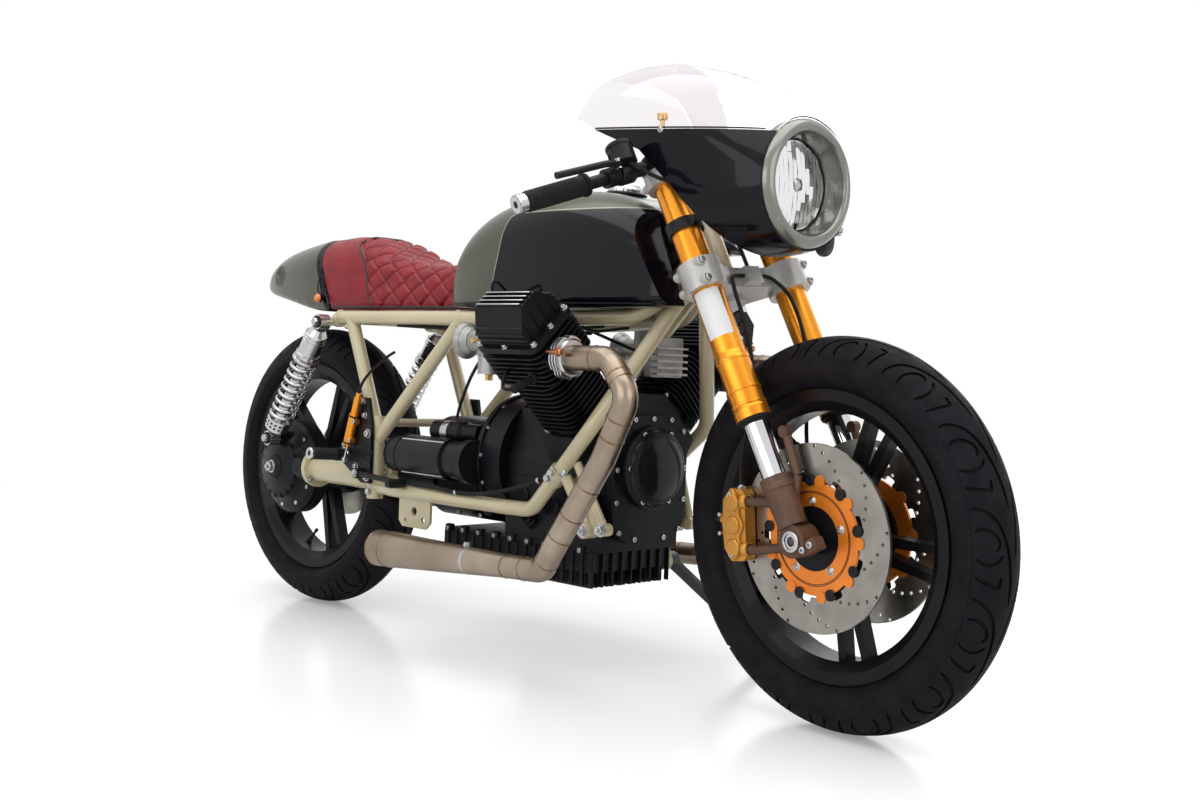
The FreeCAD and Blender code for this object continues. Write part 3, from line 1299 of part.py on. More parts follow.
def report(shift):
    """Prints the joints' points and axes in the part's frame."""
    chassis, steering = POSES[CHASSIS], POSES["steering"]
    fork = POSES[FORK]
    rows_of = {
        "steering": (fork.multVec(Vector(-size("fork_offset"), 0, 500)), fork.Rotation.multVec(Vector(0, 0, 1))),
        "front_wheel": (fork.multVec(Vector()), fork.Rotation.multVec(Vector(0, 1, 0))),
        "rear_wheel": (chassis.multVec(spot("-wheelbase / 2", "0", "rear_radius")),
                       chassis.Rotation.multVec(Vector(0, 1, 0))),
        "side_stand": (chassis.multVec(STAND_PIVOT), chassis.Rotation.multVec(Vector(0, 1, 0))),
    }
    for name, (point, axis) in rows_of.items():
        at = point + shift
        print("joint", name, [round(v / 1000, 6) for v in at], [round(v, 6) for v in axis])
    ends = {"axle_end": (fork, Vector(0, -size("leg_spacing + 19"), 0), Vector(0, -1, 0))}
    for side, word in SIDES:
        mouth, along = outlet(side)
        ends["exhaust_outlet_" + word] = (chassis, mouth, along)
        ends["foot_peg_" + word] = (chassis, peg_end(side), peg_way(side))
    for name, (pose, point, axis) in ends.items():
        at = pose.multVec(point) + shift
        print("mount", name, [round(v / 1000, 6) for v in at],
              [round(v, 6) for v in pose.Rotation.multVec(axis)])
    print("shift", shift)
    for item, label in parts:
        print(label, len(item.Shape.Solids), round(item.Shape.Volume / 1000, 1))


build()
offset = centre()
check_and_write()
report(offset)
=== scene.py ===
import math
import bmesh
import bpy
import numpy as np
from mathutils import Matrix, Vector
from mathutils.bvhtree import BVHTree
from mathutils.geometry import delaunay_2d_cdt, interpolate_bezier


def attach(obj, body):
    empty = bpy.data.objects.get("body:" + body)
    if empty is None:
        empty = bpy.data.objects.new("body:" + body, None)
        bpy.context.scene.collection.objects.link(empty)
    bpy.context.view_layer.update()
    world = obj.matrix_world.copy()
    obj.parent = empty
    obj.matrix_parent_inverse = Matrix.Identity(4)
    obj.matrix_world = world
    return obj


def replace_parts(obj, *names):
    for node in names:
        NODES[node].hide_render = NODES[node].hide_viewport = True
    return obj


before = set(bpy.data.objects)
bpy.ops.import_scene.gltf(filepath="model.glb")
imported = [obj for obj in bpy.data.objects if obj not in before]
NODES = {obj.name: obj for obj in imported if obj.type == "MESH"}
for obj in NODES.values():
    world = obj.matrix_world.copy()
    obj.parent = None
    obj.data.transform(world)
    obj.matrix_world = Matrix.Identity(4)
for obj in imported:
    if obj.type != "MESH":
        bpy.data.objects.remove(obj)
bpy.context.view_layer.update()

SCENE = bpy.context.scene


def shifted(x, y, z):
    """A move as a matrix."""
    return Matrix.Translation((x, y, z))


def spun(angle, axis):
    """A turn by an angle in degrees about an axis, as a matrix."""
    return Matrix.Rotation(math.radians(angle), 4, axis)


def meshes(count):
    """Empty meshes to fill."""
    return [bmesh.new() for _ in range(count)]


# ------------------------------------------------------------ driving dimensions, in millimetres and degrees
SIDES = (-1, 1)  # right and left
RAKE, STEM_OFFSET = 28, 55
FRONT_AXLE, REAR_AXLE = (740, 0, 327.5), (-740, 0, 325)
LEG = 104  # a fork leg's distance from the middle
RAIL, RAIL_HIGH, RAIL_RADIUS = 130, 673, 14.5  # the upper rails: distance from the middle, height and radius
CRANK_HIGH, BANK_TURN = 403, 45
BANK_X = {-1: 208, 1: 228}
LAMP_CENTRE = (642, 0, 907)
HEAD_TOP = 418  # a rocker cover's top, from the crankshaft
PORT_X, PORT_HIGH = 88.3, 302  # a port's face from its bank's middle, and its middle from the crankshaft
SUMP_SIDE, GEARBOX_SIDE, PLATE_SIDE = 104, 87, RAIL + RAIL_RADIUS + 11.3  # faces' distances from the middle
SHOCK_SIDE, SHOCK_TOP, SHOCK_FOOT = 170, (-537, 660), (-722, 392)  # the shocks' eyes: y, and x and z
PARKED_MOVE, PARKED_LEAN, PARKED_PITCH, PARKED_STEER = (-0.45, -91.92, 0.39), -4.5, -0.015, -6

# ------------------------------------------------------------ frames: millimetres to the row frame in metres
CHASSIS = Matrix.Scale(0.001, 4) @ shifted(*PARKED_MOVE) @ spun(PARKED_LEAN, "X") @ spun(PARKED_PITCH, "Y")
UPRIGHT = CHASSIS.inverted()
FORK_LOCAL = shifted(*FRONT_AXLE) @ spun(-RAKE, "Y")
STEM = FORK_LOCAL.to_3x3() @ Vector((0, 0, 1))
HINGE = FORK_LOCAL @ Vector((-STEM_OFFSET, 0, 0))
STEERING = CHASSIS @ shifted(*HINGE) @ spun(PARKED_STEER, STEM) @ shifted(*-HINGE)
FORK = STEERING @ FORK_LOCAL
REAR = CHASSIS @ shifted(*REAR_AXLE)
LAMP = STEERING @ shifted(*LAMP_CENTRE) @ spun(90, "Y")
# the cylinder banks, in the upright motorcycle's frame: +Z along the cylinder
BANKS = {side: shifted(BANK_X[side], 0, CRANK_HIGH) @ spun(-BANK_TURN * side, "X") for side in SIDES}
# a turn that lays a matrix's +Z towards a side, forwards or backwards
OUTWARD = {side: spun(-90 * side, "X") for side in SIDES}
FORWARD, BACKWARD = spun(90, "Y"), spun(-90, "Y")


# ------------------------------------------------------------ materials
def material(name, colour=(0.5, 0.5, 0.5), metallic=0.0, rough=0.5, coat=0.0, coat_rough=0.05, **sockets):
    mat = bpy.data.materials.new(name)
    mat.use_nodes = True
    shader = mat.node_tree.nodes["Principled BSDF"]
    shader.inputs["Base Color"].default_value = (*colour, 1)
    shader.inputs["Metallic"].default_value = metallic
    shader.inputs["Roughness"].default_value = rough
    shader.inputs["Coat Weight"].default_value = coat
    shader.inputs["Coat Roughness"].default_value = coat_rough
    for socket, value in sockets.items():
        shader.inputs[socket.replace("_", " ")].default_value = value
    return mat


def add(mat, kind, links=None, **values):
    """A node of a material or world, with its values; links maps a socket to another node's output."""
    node = mat.node_tree.nodes.new(kind)
    for key, value in values.items():
        if hasattr(node, key):
            setattr(node, key, value)
        else:
            node.inputs[key].default_value = value
    for socket, source in (links or {}).items():
        mat.node_tree.links.new(source, node.inputs[socket])
    return node


def shader_of(mat):
    return mat.node_tree.nodes["Principled BSDF"]


def link(mat, source, socket):
    mat.node_tree.links.new(source, shader_of(mat).inputs[socket])


def stretched(mat, scale=(1, 1, 1)):
    """Object coordinates, stretched."""
    coords = add(mat, "ShaderNodeTexCoord")
    return add(mat, "ShaderNodeMapping", {"Vector": coords.outputs["Object"]}, Scale=scale).outputs[0]


def noise(mat, scale, detail=4.0, rough=0.55, stretch=(1, 1, 1)):
    """Soft noise over the object as a node output."""
    return add(mat, "ShaderNodeTexNoise", {"Vector": stretched(mat, stretch)}, Scale=scale, Detail=detail,
               Roughness=rough).outputs["Fac"]


def ramp(mat, source, low, high, start=0.3, end=0.7):
    """A colour or value that runs from low to high between two places of the source."""
    node = add(mat, "ShaderNodeValToRGB", {"Fac": source})
    node.color_ramp.elements[0].position, node.color_ramp.elements[1].position = start, end
    node.color_ramp.elements[0].color = (*low, 1) if isinstance(low, tuple) else (low, low, low, 1)
    node.color_ramp.elements[1].color = (*high, 1) if isinstance(high, tuple) else (high, high, high, 1)
    return node.outputs[0]


def bump(mat, source, strength=0.2, distance=0.001):
    node = add(mat, "ShaderNodeBump", {"Height": source}, Strength=strength, Distance=distance)
    link(mat, node.outputs[0], "Normal")


def worn(mat, low, high, scale=14.0, rough=(0.25, 0.4), bumps=(220.0, 0.08, 0.0006), stretch=(1, 1, 1)):
    """Colour and roughness that vary softly, with a fine surface grain."""
    patches = noise(mat, scale)
    link(mat, ramp(mat, patches, low, high), "Base Color")
    link(mat, ramp(mat, noise(mat, scale * 3, 5, 0.6, stretch), rough[0], rough[1]), "Roughness")
    bump(mat, noise(mat, bumps[0], 3, 0.5, stretch), bumps[1], bumps[2])
    return mat


def paint(name, low, high, scale, rough, bumps=(220.0, 0.08, 0.0006), stretch=(1, 1, 1), **finish):
    return worn(material(name, **finish), low, high, scale, rough, bumps, stretch)


MATS = {
    "tyre": paint("tyre_rubber", (0.006, 0.005, 0.007), (0.013, 0.011, 0.014), 30, (0.5, 0.68),
                  (600, 0.3, 0.0006), Specular_IOR_Level=0.08),
    "wheel": paint("black_wheel_paint", (0.003, 0.0028, 0.004), (0.007, 0.007, 0.008), 9, (0.32, 0.42),
                   (500, 0.06, 0.0005), coat=0.12, coat_rough=0.08, Specular_IOR_Level=0.1),
    "gloss": paint("gloss_black_paint", (0.003, 0.0024, 0.0045), (0.005, 0.004, 0.007), 4, (0.16, 0.22),
                   (60, 0.015, 0.001), coat=0.25, coat_rough=0.03, Specular_IOR_Level=0.06),
    "cream": paint("cream_frame_paint", (0.50, 0.44, 0.27), (0.58, 0.51, 0.32), 6, (0.3, 0.4),
                   (90, 0.03, 0.001), coat=0.7, coat_rough=0.1),
    "engine": paint("engine_wrinkle_black", (0.004, 0.0035, 0.005), (0.008, 0.007, 0.01), 20, (0.3, 0.44),
                    (900, 0.35, 0.0006), Specular_IOR_Level=0.16),
    "black": paint("satin_black_metal", (0.006, 0.006, 0.007), (0.011, 0.011, 0.012), 30, (0.3, 0.45),
                   (700, 0.1, 0.0004), Specular_IOR_Level=0.2),
    "rubber": paint("black_rubber", (0.008, 0.008, 0.008), (0.014, 0.014, 0.014), 40, (0.55, 0.75),
                    (900, 0.2, 0.0005), Specular_IOR_Level=0.18),
    "gold": paint("gold_anodised", (0.76, 0.27, 0.016), (0.84, 0.32, 0.026), 5, (0.24, 0.3),
                  (300, 0.008, 0.0002), metallic=0.8),
    "bronze": paint("bronze_casting", (0.075, 0.036, 0.02), (0.115, 0.056, 0.032), 24, (0.42, 0.6),
                    (500, 0.3, 0.0007), metallic=0.25),
    "caliper": paint("gold_caliper_paint", (0.50, 0.215, 0.018), (0.58, 0.265, 0.03), 16, (0.32, 0.45),
                     (600, 0.15, 0.0005), metallic=0.6, coat=0.4),
    "orange": paint("orange_anodised", (0.78, 0.20, 0.012), (0.86, 0.25, 0.02), 12, (0.3, 0.42),
                    (700, 0.08, 0.0004), metallic=0.5, coat=0.2),
    "chrome": paint("hard_chrome", (0.62, 0.62, 0.64), (0.7, 0.7, 0.72), 5, (0.04, 0.1),
                    (900, 0.02, 0.0002), metallic=1.0),
    "steel": paint("brushed_steel", (0.42, 0.42, 0.42), (0.55, 0.55, 0.55), 9, (0.22, 0.38),
                   (500, 0.1, 0.0003), metallic=1.0),
    "disc": paint("ground_disc_steel", (0.25, 0.235, 0.21), (0.35, 0.33, 0.30), 20, (0.26, 0.38),
                  (500, 0.08, 0.0002), metallic=1.0),
    "grey": paint("grey_yoke_paint", (0.40, 0.39, 0.37), (0.47, 0.46, 0.44), 14, (0.34, 0.46),
                  (400, 0.12, 0.0005), metallic=0.35, coat=0.3),
    "alloy": paint("polished_alloy", (0.50, 0.50, 0.51), (0.62, 0.62, 0.63), 10, (0.16, 0.28),
                   (600, 0.05, 0.0003), metallic=1.0),
    "satin": paint("satin_silver_paint", (0.50, 0.51, 0.52), (0.58, 0.59, 0.60), 10, (0.32, 0.42),
                   (600, 0.05, 0.0003), metallic=0.6, coat=0.4),
    "cast": paint("cast_alloy", (0.28, 0.27, 0.26), (0.4, 0.39, 0.38), 24, (0.4, 0.6), (500, 0.3, 0.0006),
                  metallic=0.85),
    "stainless": paint("brushed_stainless", (0.25, 0.195, 0.14), (0.40, 0.335, 0.27), 8, (0.26, 0.4),
                       (420, 0.12, 0.0003), (0.2, 1, 1), metallic=1.0),
    "leather": paint("red_leather", (0.17, 0.004, 0.009), (0.255, 0.008, 0.015), 22, (0.42, 0.6),
                     (750, 0.3, 0.0007), coat=0.15, coat_rough=0.25, Specular_IOR_Level=0.3),
    "piping": paint("black_piping", (0.012, 0.011, 0.011), (0.02, 0.018, 0.018), 60, (0.45, 0.6),
                    (900, 0.2, 0.0004)),
    "amber": paint("amber_lens", (0.75, 0.16, 0.01), (0.85, 0.22, 0.02), 30, (0.12, 0.2),
                   (300, 0.1, 0.0005), coat=0.5),
    "dark": paint("dark_grey_paint", (0.03, 0.03, 0.032), (0.045, 0.045, 0.048), 20, (0.4, 0.5),
                  (600, 0.12, 0.0005)),
    "clear": material("clear_screen", (0.93, 0.90, 0.925), rough=0.02, IOR=1.22, Transmission_Weight=1.0),
    "lens": material("lamp_glass", (1, 1, 1), rough=0.03, IOR=1.3, Transmission_Weight=1.0),
    "brass": paint("brass", (0.55, 0.36, 0.14), (0.66, 0.45, 0.2), 40, (0.22, 0.36), (600, 0.08, 0.0003),
                   metallic=1.0),
    "copper": paint("copper", (0.50, 0.22, 0.10), (0.62, 0.30, 0.15), 40, (0.25, 0.4), (600, 0.1, 0.0003),
                    metallic=1.0),
    "weld": paint("heat_tinted_weld", (0.13, 0.065, 0.035), (0.30, 0.20, 0.13), 60, (0.3, 0.45),
                  (900, 0.25, 0.0004), metallic=1.0),
    "mirror": paint("mirror_silver", (0.8, 0.8, 0.82), (0.86, 0.86, 0.88), 6, (0.03, 0.06),
                    (200, 0.02, 0.0002), metallic=1.0),
    "gloss_cast": paint("gloss_black_casting", (0.009, 0.009, 0.01), (0.013, 0.013, 0.015), 12,
                        (0.22, 0.32), (300, 0.06, 0.0005), coat=0.25, coat_rough=0.06,
                        Specular_IOR_Level=0.1),
    "white_paint": paint("white_label", (0.75, 0.75, 0.75), (0.8, 0.8, 0.8), 20, (0.4, 0.5)),
}


def reach_along(mat, origin, way):
    """How far a point lies from the origin along the way, in metres, as a node output."""
    away = add(mat, "ShaderNodeVectorMath", {0: add(mat, "ShaderNodeTexCoord").outputs["Object"]},
               operation="SUBTRACT")
    away.inputs[1].default_value = origin
    dot = add(mat, "ShaderNodeVectorMath", {0: away.outputs[0]}, operation="DOT_PRODUCT")
    dot.inputs[1].default_value = way
    return dot.outputs["Value"]


def step_at(mat, source, low, high):
    """0 under low, 1 over high."""
    node = add(mat, "ShaderNodeMapRange", {"Value": source}, clamp=True)
    node.inputs["From Min"].default_value, node.inputs["From Max"].default_value = low, high
    return node.outputs[0]


def blend(mat, share, first, second):
    """Two values mixed by a share."""
    return add(mat, "ShaderNodeMix", {0: share}, data_type="FLOAT", A=first, B=second).outputs[0]


def joined(mat, share, first, second, colour=True):
    """Two node outputs mixed by a share."""
    node = add(mat, "ShaderNodeMix", {0: share, 6 if colour else 2: first, 7 if colour else 3: second},
               data_type="RGBA" if colour else "FLOAT")
    return node.outputs[2 if colour else 0]


def two_tone(name, edge_of, line_wide):
    """Grey-green paint where the edge function is over 0, deep black under it, a pale line between."""
    mat = material(name, coat=0.3, coat_rough=0.04, Specular_IOR_Level=0.08)
    edge = edge_of(mat)
    share = step_at(mat, edge, -0.0003, 0.0003)
    fine = noise(mat, 900, 2)
    green = ramp(mat, noise(mat, 7, 4), (0.078, 0.08, 0.06), (0.108, 0.11, 0.084))
    black = ramp(mat, noise(mat, 4, 4), (0.003, 0.0024, 0.0045), (0.005, 0.004, 0.007))
    near = add(mat, "ShaderNodeMath", {0: edge}, operation="ABSOLUTE")
    line = step_at(mat, near.outputs[0], line_wide + 0.0003, line_wide)
    node = add(mat, "ShaderNodeMix", {0: line, 6: joined(mat, share, black, green)}, data_type="RGBA")
    node.inputs[7].default_value = (0.30, 0.29, 0.22, 1)
    link(mat, node.outputs[2] if line_wide else joined(mat, share, black, green), "Base Color")
    link(mat, blend(mat, share, 0.0, 0.55), "Metallic")
    smooth, dull = ramp(mat, noise(mat, 9, 3), 0.14, 0.2), ramp(mat, fine, 0.26, 0.34)
    link(mat, joined(mat, share, smooth, dull, False), "Roughness")
    bump(mat, fine, 0.02, 0.0003)
    return mat


TURN = CHASSIS.to_3x3().normalized()


def tank_edge(mat):
    """Over 0 behind the tank's slanted line and above its top line."""
    rear = reach_along(mat, CHASSIS @ Vector((-8.6, 0, 721.5)), TURN @ Vector((-1, 0, 0.27)).normalized())
    top = reach_along(mat, CHASSIS @ Vector((0, 0, 876)), TURN @ Vector((0, 0, 1)))
    edge = add(mat, "ShaderNodeMath", {0: rear, 1: top}, operation="SMOOTH_MAX")
    edge.inputs[2].default_value = 0.03
    return edge.outputs[0]


def tail_edge(mat):
    """Over 0 behind the black band at the tail's front edge."""
    return reach_along(mat, CHASSIS @ Vector((-612, 0, 688)), TURN @ Vector((-1, 0, -0.435)).normalized())


def lamp_paint(name):
    """Grey-green paint on the lamp's ring and bright metal inside it."""
    mat = material(name, coat=0.6, coat_rough=0.08)
    turn = LAMP.to_3x3().normalized()
    centre = LAMP @ Vector((0, 0, 0))
    sideways = [reach_along(mat, centre, turn @ Vector(way)) for way in ((1, 0, 0), (0, 1, 0))]
    squares = [add(mat, "ShaderNodeMath", {0: value, 1: value}, operation="MULTIPLY").outputs[0]
               for value in sideways]
    total = add(mat, "ShaderNodeMath", {0: squares[0], 1: squares[1]}, operation="ADD")
    share = step_at(mat, total.outputs[0], 0.0768 ** 2, 0.0772 ** 2)
    tint = ramp(mat, noise(mat, 12, 4), (0.17, 0.175, 0.15), (0.22, 0.225, 0.195))
    metal = ramp(mat, noise(mat, 20, 4), (0.55, 0.55, 0.56), (0.66, 0.66, 0.67))
    link(mat, joined(mat, share, metal, tint), "Base Color")
    link(mat, blend(mat, share, 1.0, 0.5), "Metallic")
    bright, dull = ramp(mat, noise(mat, 30, 3), 0.1, 0.18), ramp(mat, noise(mat, 60, 3), 0.2, 0.28)
    link(mat, joined(mat, share, bright, dull, False), "Roughness")
    bump(mat, noise(mat, 500, 3), 0.05, 0.0003)
    return mat


MATS["tank"] = two_tone("two_tone_tank_paint", tank_edge, 0.0012)
MATS["tail"] = two_tone("two_tone_tail_paint", tail_edge, 0)
MATS["lamp"] = lamp_paint("lamp_ring_paint")
for name, scale in (("clear", 6), ("lens", 20)):
    bump(MATS[name], noise(MATS[name], scale, 2), 0.02, 0.002)

# the CAD nodes of each material
LOOKS = {
    "tyre": "front_tyre rear_tyre",
    "wheel": "front_rim rear_rim",
    "disc": "front_discs rear_disc",
    "orange": "disc_carriers",
    "gold": "fork_tubes rear_master",
    "chrome": "fork_stanchions",
    "bronze": "fork_bottoms",
    "caliper": "brake_calipers",
    "steel": "front_axle rear_axle filler_cap",
    "grey": "lower_yoke upper_yoke",
    "black": "clip_on_bars hand_levers bar_end_mirror lamp_brackets starter_motor rearsets "
             "foot_levers instruments",
    "rubber": "grips brake_hoses",
    "gloss": "fairing",
    "clear": "windscreen",
    "lamp": "headlight",
    "cream": "main_frame cradle_right cradle_left swingarm engine_lugs",
    "engine": "crankcase alternator_cover cylinder_right cylinder_left rocker_cover_right "
              "rocker_cover_left gearbox final_drive",
    "cast": "carburettor_right carburettor_left regulator",
    "stainless": "exhaust_right exhaust_left",
    "alloy": "shock_right shock_left shock_springs",
    "tank": "fuel_tank",
    "leather": "seat_pad",
    "tail": "tail_cowl",
    "dark": "side_stand",
}
for look, names in LOOKS.items():
    for name in names.split():
        item = NODES[name]
        if item.material_slots:
            for slot in item.material_slots:
                slot.material = MATS[look]
        else:
            item.data.materials.append(MATS[look])


# ------------------------------------------------------------ mesh helpers: millimetres in a given frame
def aim(point, way, spin=0.0):
    """A matrix at the point whose +Z looks the given way."""
    turn = Vector(way).normalized().to_track_quat("Z", "Y").to_matrix().to_4x4()
    return Matrix.Translation(point) @ turn @ spun(spin, "Z")


def beside(side, x, y, z):
    """A matrix at a place on one side of the motorcycle whose +Z looks outwards."""
    return shifted(x, side * y, z) @ OUTWARD[side]


def knurled(depth, count, low=-1000, high=1000):
    """Ridges round a lathed piece between two heights."""
    return lambda angle, height: depth * math.cos(count * angle) if low < height < high else 0


def lathe(bm, profile, at=Matrix(), steps=40, wave=None):
    """Turns (radius, height[, flats]) points about the matrix's +Z.  flats makes that ring a polygon."""
    rings = []
    for radius, height, *flats in profile:
        ring = []
        for k in range(1 if radius < 1e-6 else steps):
            angle = 2 * math.pi * k / steps
            reach = radius
            if flats:
                part = 2 * math.pi / flats[0]
                reach *= math.cos(part / 2) / math.cos(angle % part - part / 2)
            if wave:
                reach += wave(angle, height)
            ring.append(bm.verts.new(at @ Vector((reach * math.cos(angle), reach * math.sin(angle),
                                                  height))))
        rings.append(ring)
    for low, high in zip(rings, rings[1:]):
        for k in range(max(len(low), len(high))):
            corners = [low[k % len(low)], low[(k + 1) % len(low)], high[(k + 1) % len(high)],
                       high[k % len(high)]]
            loop = [v for i, v in enumerate(corners) if v is not corners[i - 1]]
            if len(set(loop)) > 2:
                bm.faces.new(loop)


def prism(bm, outline, low, high, at=Matrix(), chamfer=0.0):
    """An outline in the matrix's XY plane, raised from low to high, with its upper edge chamfered."""
    outline = [Vector((p[0], p[1])) for p in outline]
    if sum(a.x * b.y - a.y * b.x for a, b in zip(outline, outline[1:] + outline[:1])) < 0:
        outline.reverse()
    middle = sum(outline, Vector((0, 0))) / len(outline)
    levels = [(low, 0), (high - chamfer, 0)] + ([(high, chamfer)] if chamfer else [])
    rings = []
    for height, inset in levels:
        ring = []
        for before, here, after in zip(outline[-1:] + outline[:-1], outline, outline[1:] + outline[:1]):
            inward = ((here - before).orthogonal() + (after - here).orthogonal())
            inward = inward.normalized() if inward.length > 1e-6 else (middle - here).normalized()
            spot = here + inward * inset
            ring.append(bm.verts.new(at @ Vector((spot.x, spot.y, height))))
        rings.append(ring)
    bm.faces.new(rings[0][::-1])
    for a, b in zip(rings, rings[1:]):
        for k in range(len(a)):
            bm.faces.new((a[k], a[(k + 1) % len(a)], b[(k + 1) % len(b)], b[k]))
    bm.faces.new(rings[-1])


def pipe(bm, points, radius, steps=10, closed=False, squash=1.0):
    """A round bar along a smooth line through the points."""
    line = smooth_line(points, 6, closed)
    rings, side = [], None
    count = len(line)
    for k, here in enumerate(line):
        ahead = line[(k + 1) % count] if closed or k < count - 1 else here
        behind = line[k - 1] if closed or k else here
        along = (ahead - behind).normalized()
        side = (side - along * side.dot(along)).normalized() if side else along.orthogonal().normalized()
        other = along.cross(side)
        size = radius(k / (count - 1)) if callable(radius) else radius
        rings.append([bm.verts.new(here + (side * math.cos(a) + other * math.sin(a) * squash) * size)
                      for a in (2 * math.pi * j / steps for j in range(steps))])
    for k in range(count if closed else count - 1):
        a, b = rings[k], rings[(k + 1) % count]
        for j in range(steps):
            bm.faces.new((a[j], a[(j + 1) % steps], b[(j + 1) % steps], b[j]))
    if not closed:
        bm.faces.new(rings[0][::-1])
        bm.faces.new(rings[-1])


def smooth_line(points, parts=6, closed=False):
    """A rounded line through the points."""
    points = [Vector(p) for p in points]
    if len(points) < 3:
        return points
    line = []
    count = len(points)
    for k in range(count if closed else count - 1):
        here, there = points[k], points[(k + 1) % count]
        before = points[k - 1] if closed or k else here
        after = points[(k + 2) % count] if closed or k < count - 2 else there
        line += interpolate_bezier(here, here + (there - before) / 6, there - (after - here) / 6, there,
                                   parts)[:-1]
    return line if closed else line + [points[-1]]


def bolt(bm, at, radius=5.0, height=5.0, kind="socket"):
    """A bolt head on the matrix's XY plane: socket, hex, button or dome."""
    if kind == "hex":
        lathe(bm, [(radius * 1.35, 0), (radius * 1.35, 0.8), (radius * 1.1, 0.8, 6),
                   (radius * 1.1, height - 0.6, 6), (radius * 0.85, height), (0, height)], at, 24)
        return
    if kind == "dome":
        lathe(bm, [(radius, 0), (radius * 0.97, height * 0.4), (radius * 0.7, height * 0.85), (0, height)],
              at, 20)
        return
    top = [(radius, 0), (radius, height - 0.7), (radius - 0.7, height)]
    if kind == "button":
        top = [(radius, 0), (radius * 0.95, height * 0.45), (radius * 0.72, height)]
    lathe(bm, top + [(radius * 0.55, height, 6), (radius * 0.52, height - min(2.5, height * 0.7), 6),
                     (0, height - min(2.7, height * 0.75))], at, 24)


def box(bm, low, high, at=Matrix(), chamfer=1.0):
    """A box with all its edges chamfered."""
    made = bmesh.ops.create_cube(bm, size=1.0)["verts"]
    low, high = Vector(low), Vector(high)
    for v in made:
        v.co = Vector(low[i] if v.co[i] < 0 else high[i] for i in range(3))
    edges = list(dict.fromkeys(e for v in made for e in v.link_edges))
    bevelled = bmesh.ops.bevel(bm, geom=edges, offset=chamfer, segments=2, affect="EDGES", profile=0.6)
    done = {v for v in made if v.is_valid} | set(bevelled["verts"])
    for v in done:
        v.co = at @ v.co


# the record's colour slot of each look; a look without one is a blank label's
SLOTS = {
    "steel": "silver_steel", "rubber": "black_rubber", "alloy": "polished_aluminium",
    "engine": "engine_black",
    "black": "black_metal", "gold": "gold_anodised", "dark": "dark_grey", "cream": "cream_paint",
    "weld": "stainless", "satin": "polished_aluminium", "piping": "black_rubber", "mirror": "chrome",
    "lens": "lamp_glass", "grey": "grey_yoke", "gloss_cast": "gloss_black", "gloss": "gloss_black",
    "copper": "bronze_paint", "cast": "cast_aluminium", "caliper": "gold_caliper", "bronze": "bronze_paint",
    "brass": "gold_anodised", "amber": "gold_caliper", "tyre": "tyre_rubber",
}


def piece(name, bm, look, body="chassis", frame_at=CHASSIS, sharp=35.0, slot=None):
    """Makes one piece of the faces, in its place, and sets it on its body."""
    bmesh.ops.remove_doubles(bm, verts=bm.verts, dist=0.002)
    bm.transform(frame_at)
    bmesh.ops.recalc_face_normals(bm, faces=bm.faces)
    mesh = bpy.data.meshes.new(name)
    bm.to_mesh(mesh)
    bm.free()
    mesh.shade_smooth()
    mesh.set_sharp_from_angle(angle=math.radians(sharp))
    mesh.materials.append(MATS[look])
    item = bpy.data.objects.new(name, mesh)
    SCENE.collection.objects.link(item)
    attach(item, body)
    slot = slot or SLOTS.get(look)
    return item


TREES = {}


def onto(node, frame_at, start, way):
    """Where a line from the point meets a CAD node, as a matrix whose +Z is the surface's normal."""
    if node not in TREES:
        mesh = NODES[node].data
        mesh.calc_loop_triangles()
        TREES[node] = BVHTree.FromPolygons([v.co for v in mesh.vertices],
                                           [t.vertices for t in mesh.loop_triangles])
    ray = (frame_at.to_3x3() @ Vector(way)).normalized()
    hit, normal, _, _ = TREES[node].ray_cast(frame_at @ Vector(start), ray)
    if hit is None:
        raise ValueError(f"nothing of {node} at {start}")
    if normal.dot(ray) > 0:
        normal = -normal
    back = frame_at.inverted()
    return aim(back @ hit, back.to_3x3() @ normal)


def around(count, radius, start=0.0):
    """Points on a circle, with their angles in degrees."""
    for k in range(count):
        angle = start + 360 * k / count
        turn = math.radians(angle)
        yield Vector((radius * math.cos(turn), radius * math.sin(turn), 0)), angle


# ------------------------------------------------------------ tyres
def strip(points, wide):
    """The outline of a groove: a line widened to both sides and narrow at its ends."""
    line = smooth_line([(x, y, 0) for x, y in points], 5)
    left, right = [], []
    for k, here in enumerate(line):
        along = (line[min(k + 1, len(line) - 1)] - line[max(k - 1, 0)]).normalized()
        side = Vector((-along.y, along.x, 0))
        half = wide / 2 * min(1.0, 0.45 + 0.6 * min(k, len(line) - 1 - k) / 3)
        left.append(here + side * half)
        right.append(here - side * half)
    loop = [(p.x, p.y) for p in left + right[::-1]]
    turn = sum(a[0] * b[1] - a[1] * b[0] for a, b in zip(loop, loop[1:] + loop[:1]))
    return loop if turn > 0 else loop[::-1]


# grooves from the shoulder inwards, as (way round, way across) in shares of the pitch and of the half width
GROOVES = (((0.0, 0.97), (0.02, 0.8), (0.08, 0.6), (0.2, 0.4), (0.38, 0.25), (0.6, 0.15), (0.85, 0.08),
            (1.05, 0.05)),
           ((0.25, 0.97), (0.23, 0.8), (0.26, 0.62), (0.34, 0.45), (0.42, 0.42), (0.47, 0.5)),
           ((0.55, 0.97), (0.6, 0.8), (0.61, 0.62), (0.58, 0.46), (0.52, 0.34)),
           ((0.76, 0.97), (0.8, 0.78), (0.83, 0.58), (0.85, 0.42), (0.8, 0.39), (0.74, 0.36)))


CROWN_ARC = 68  # half of the crown's arc in degrees
BEAD_RADIUS, WALL_ROUND = 243, 40  # the bead's end and the side wall's roundness
GROOVE_WIDE, GROOVE_DEEP = 5.4, 4.2


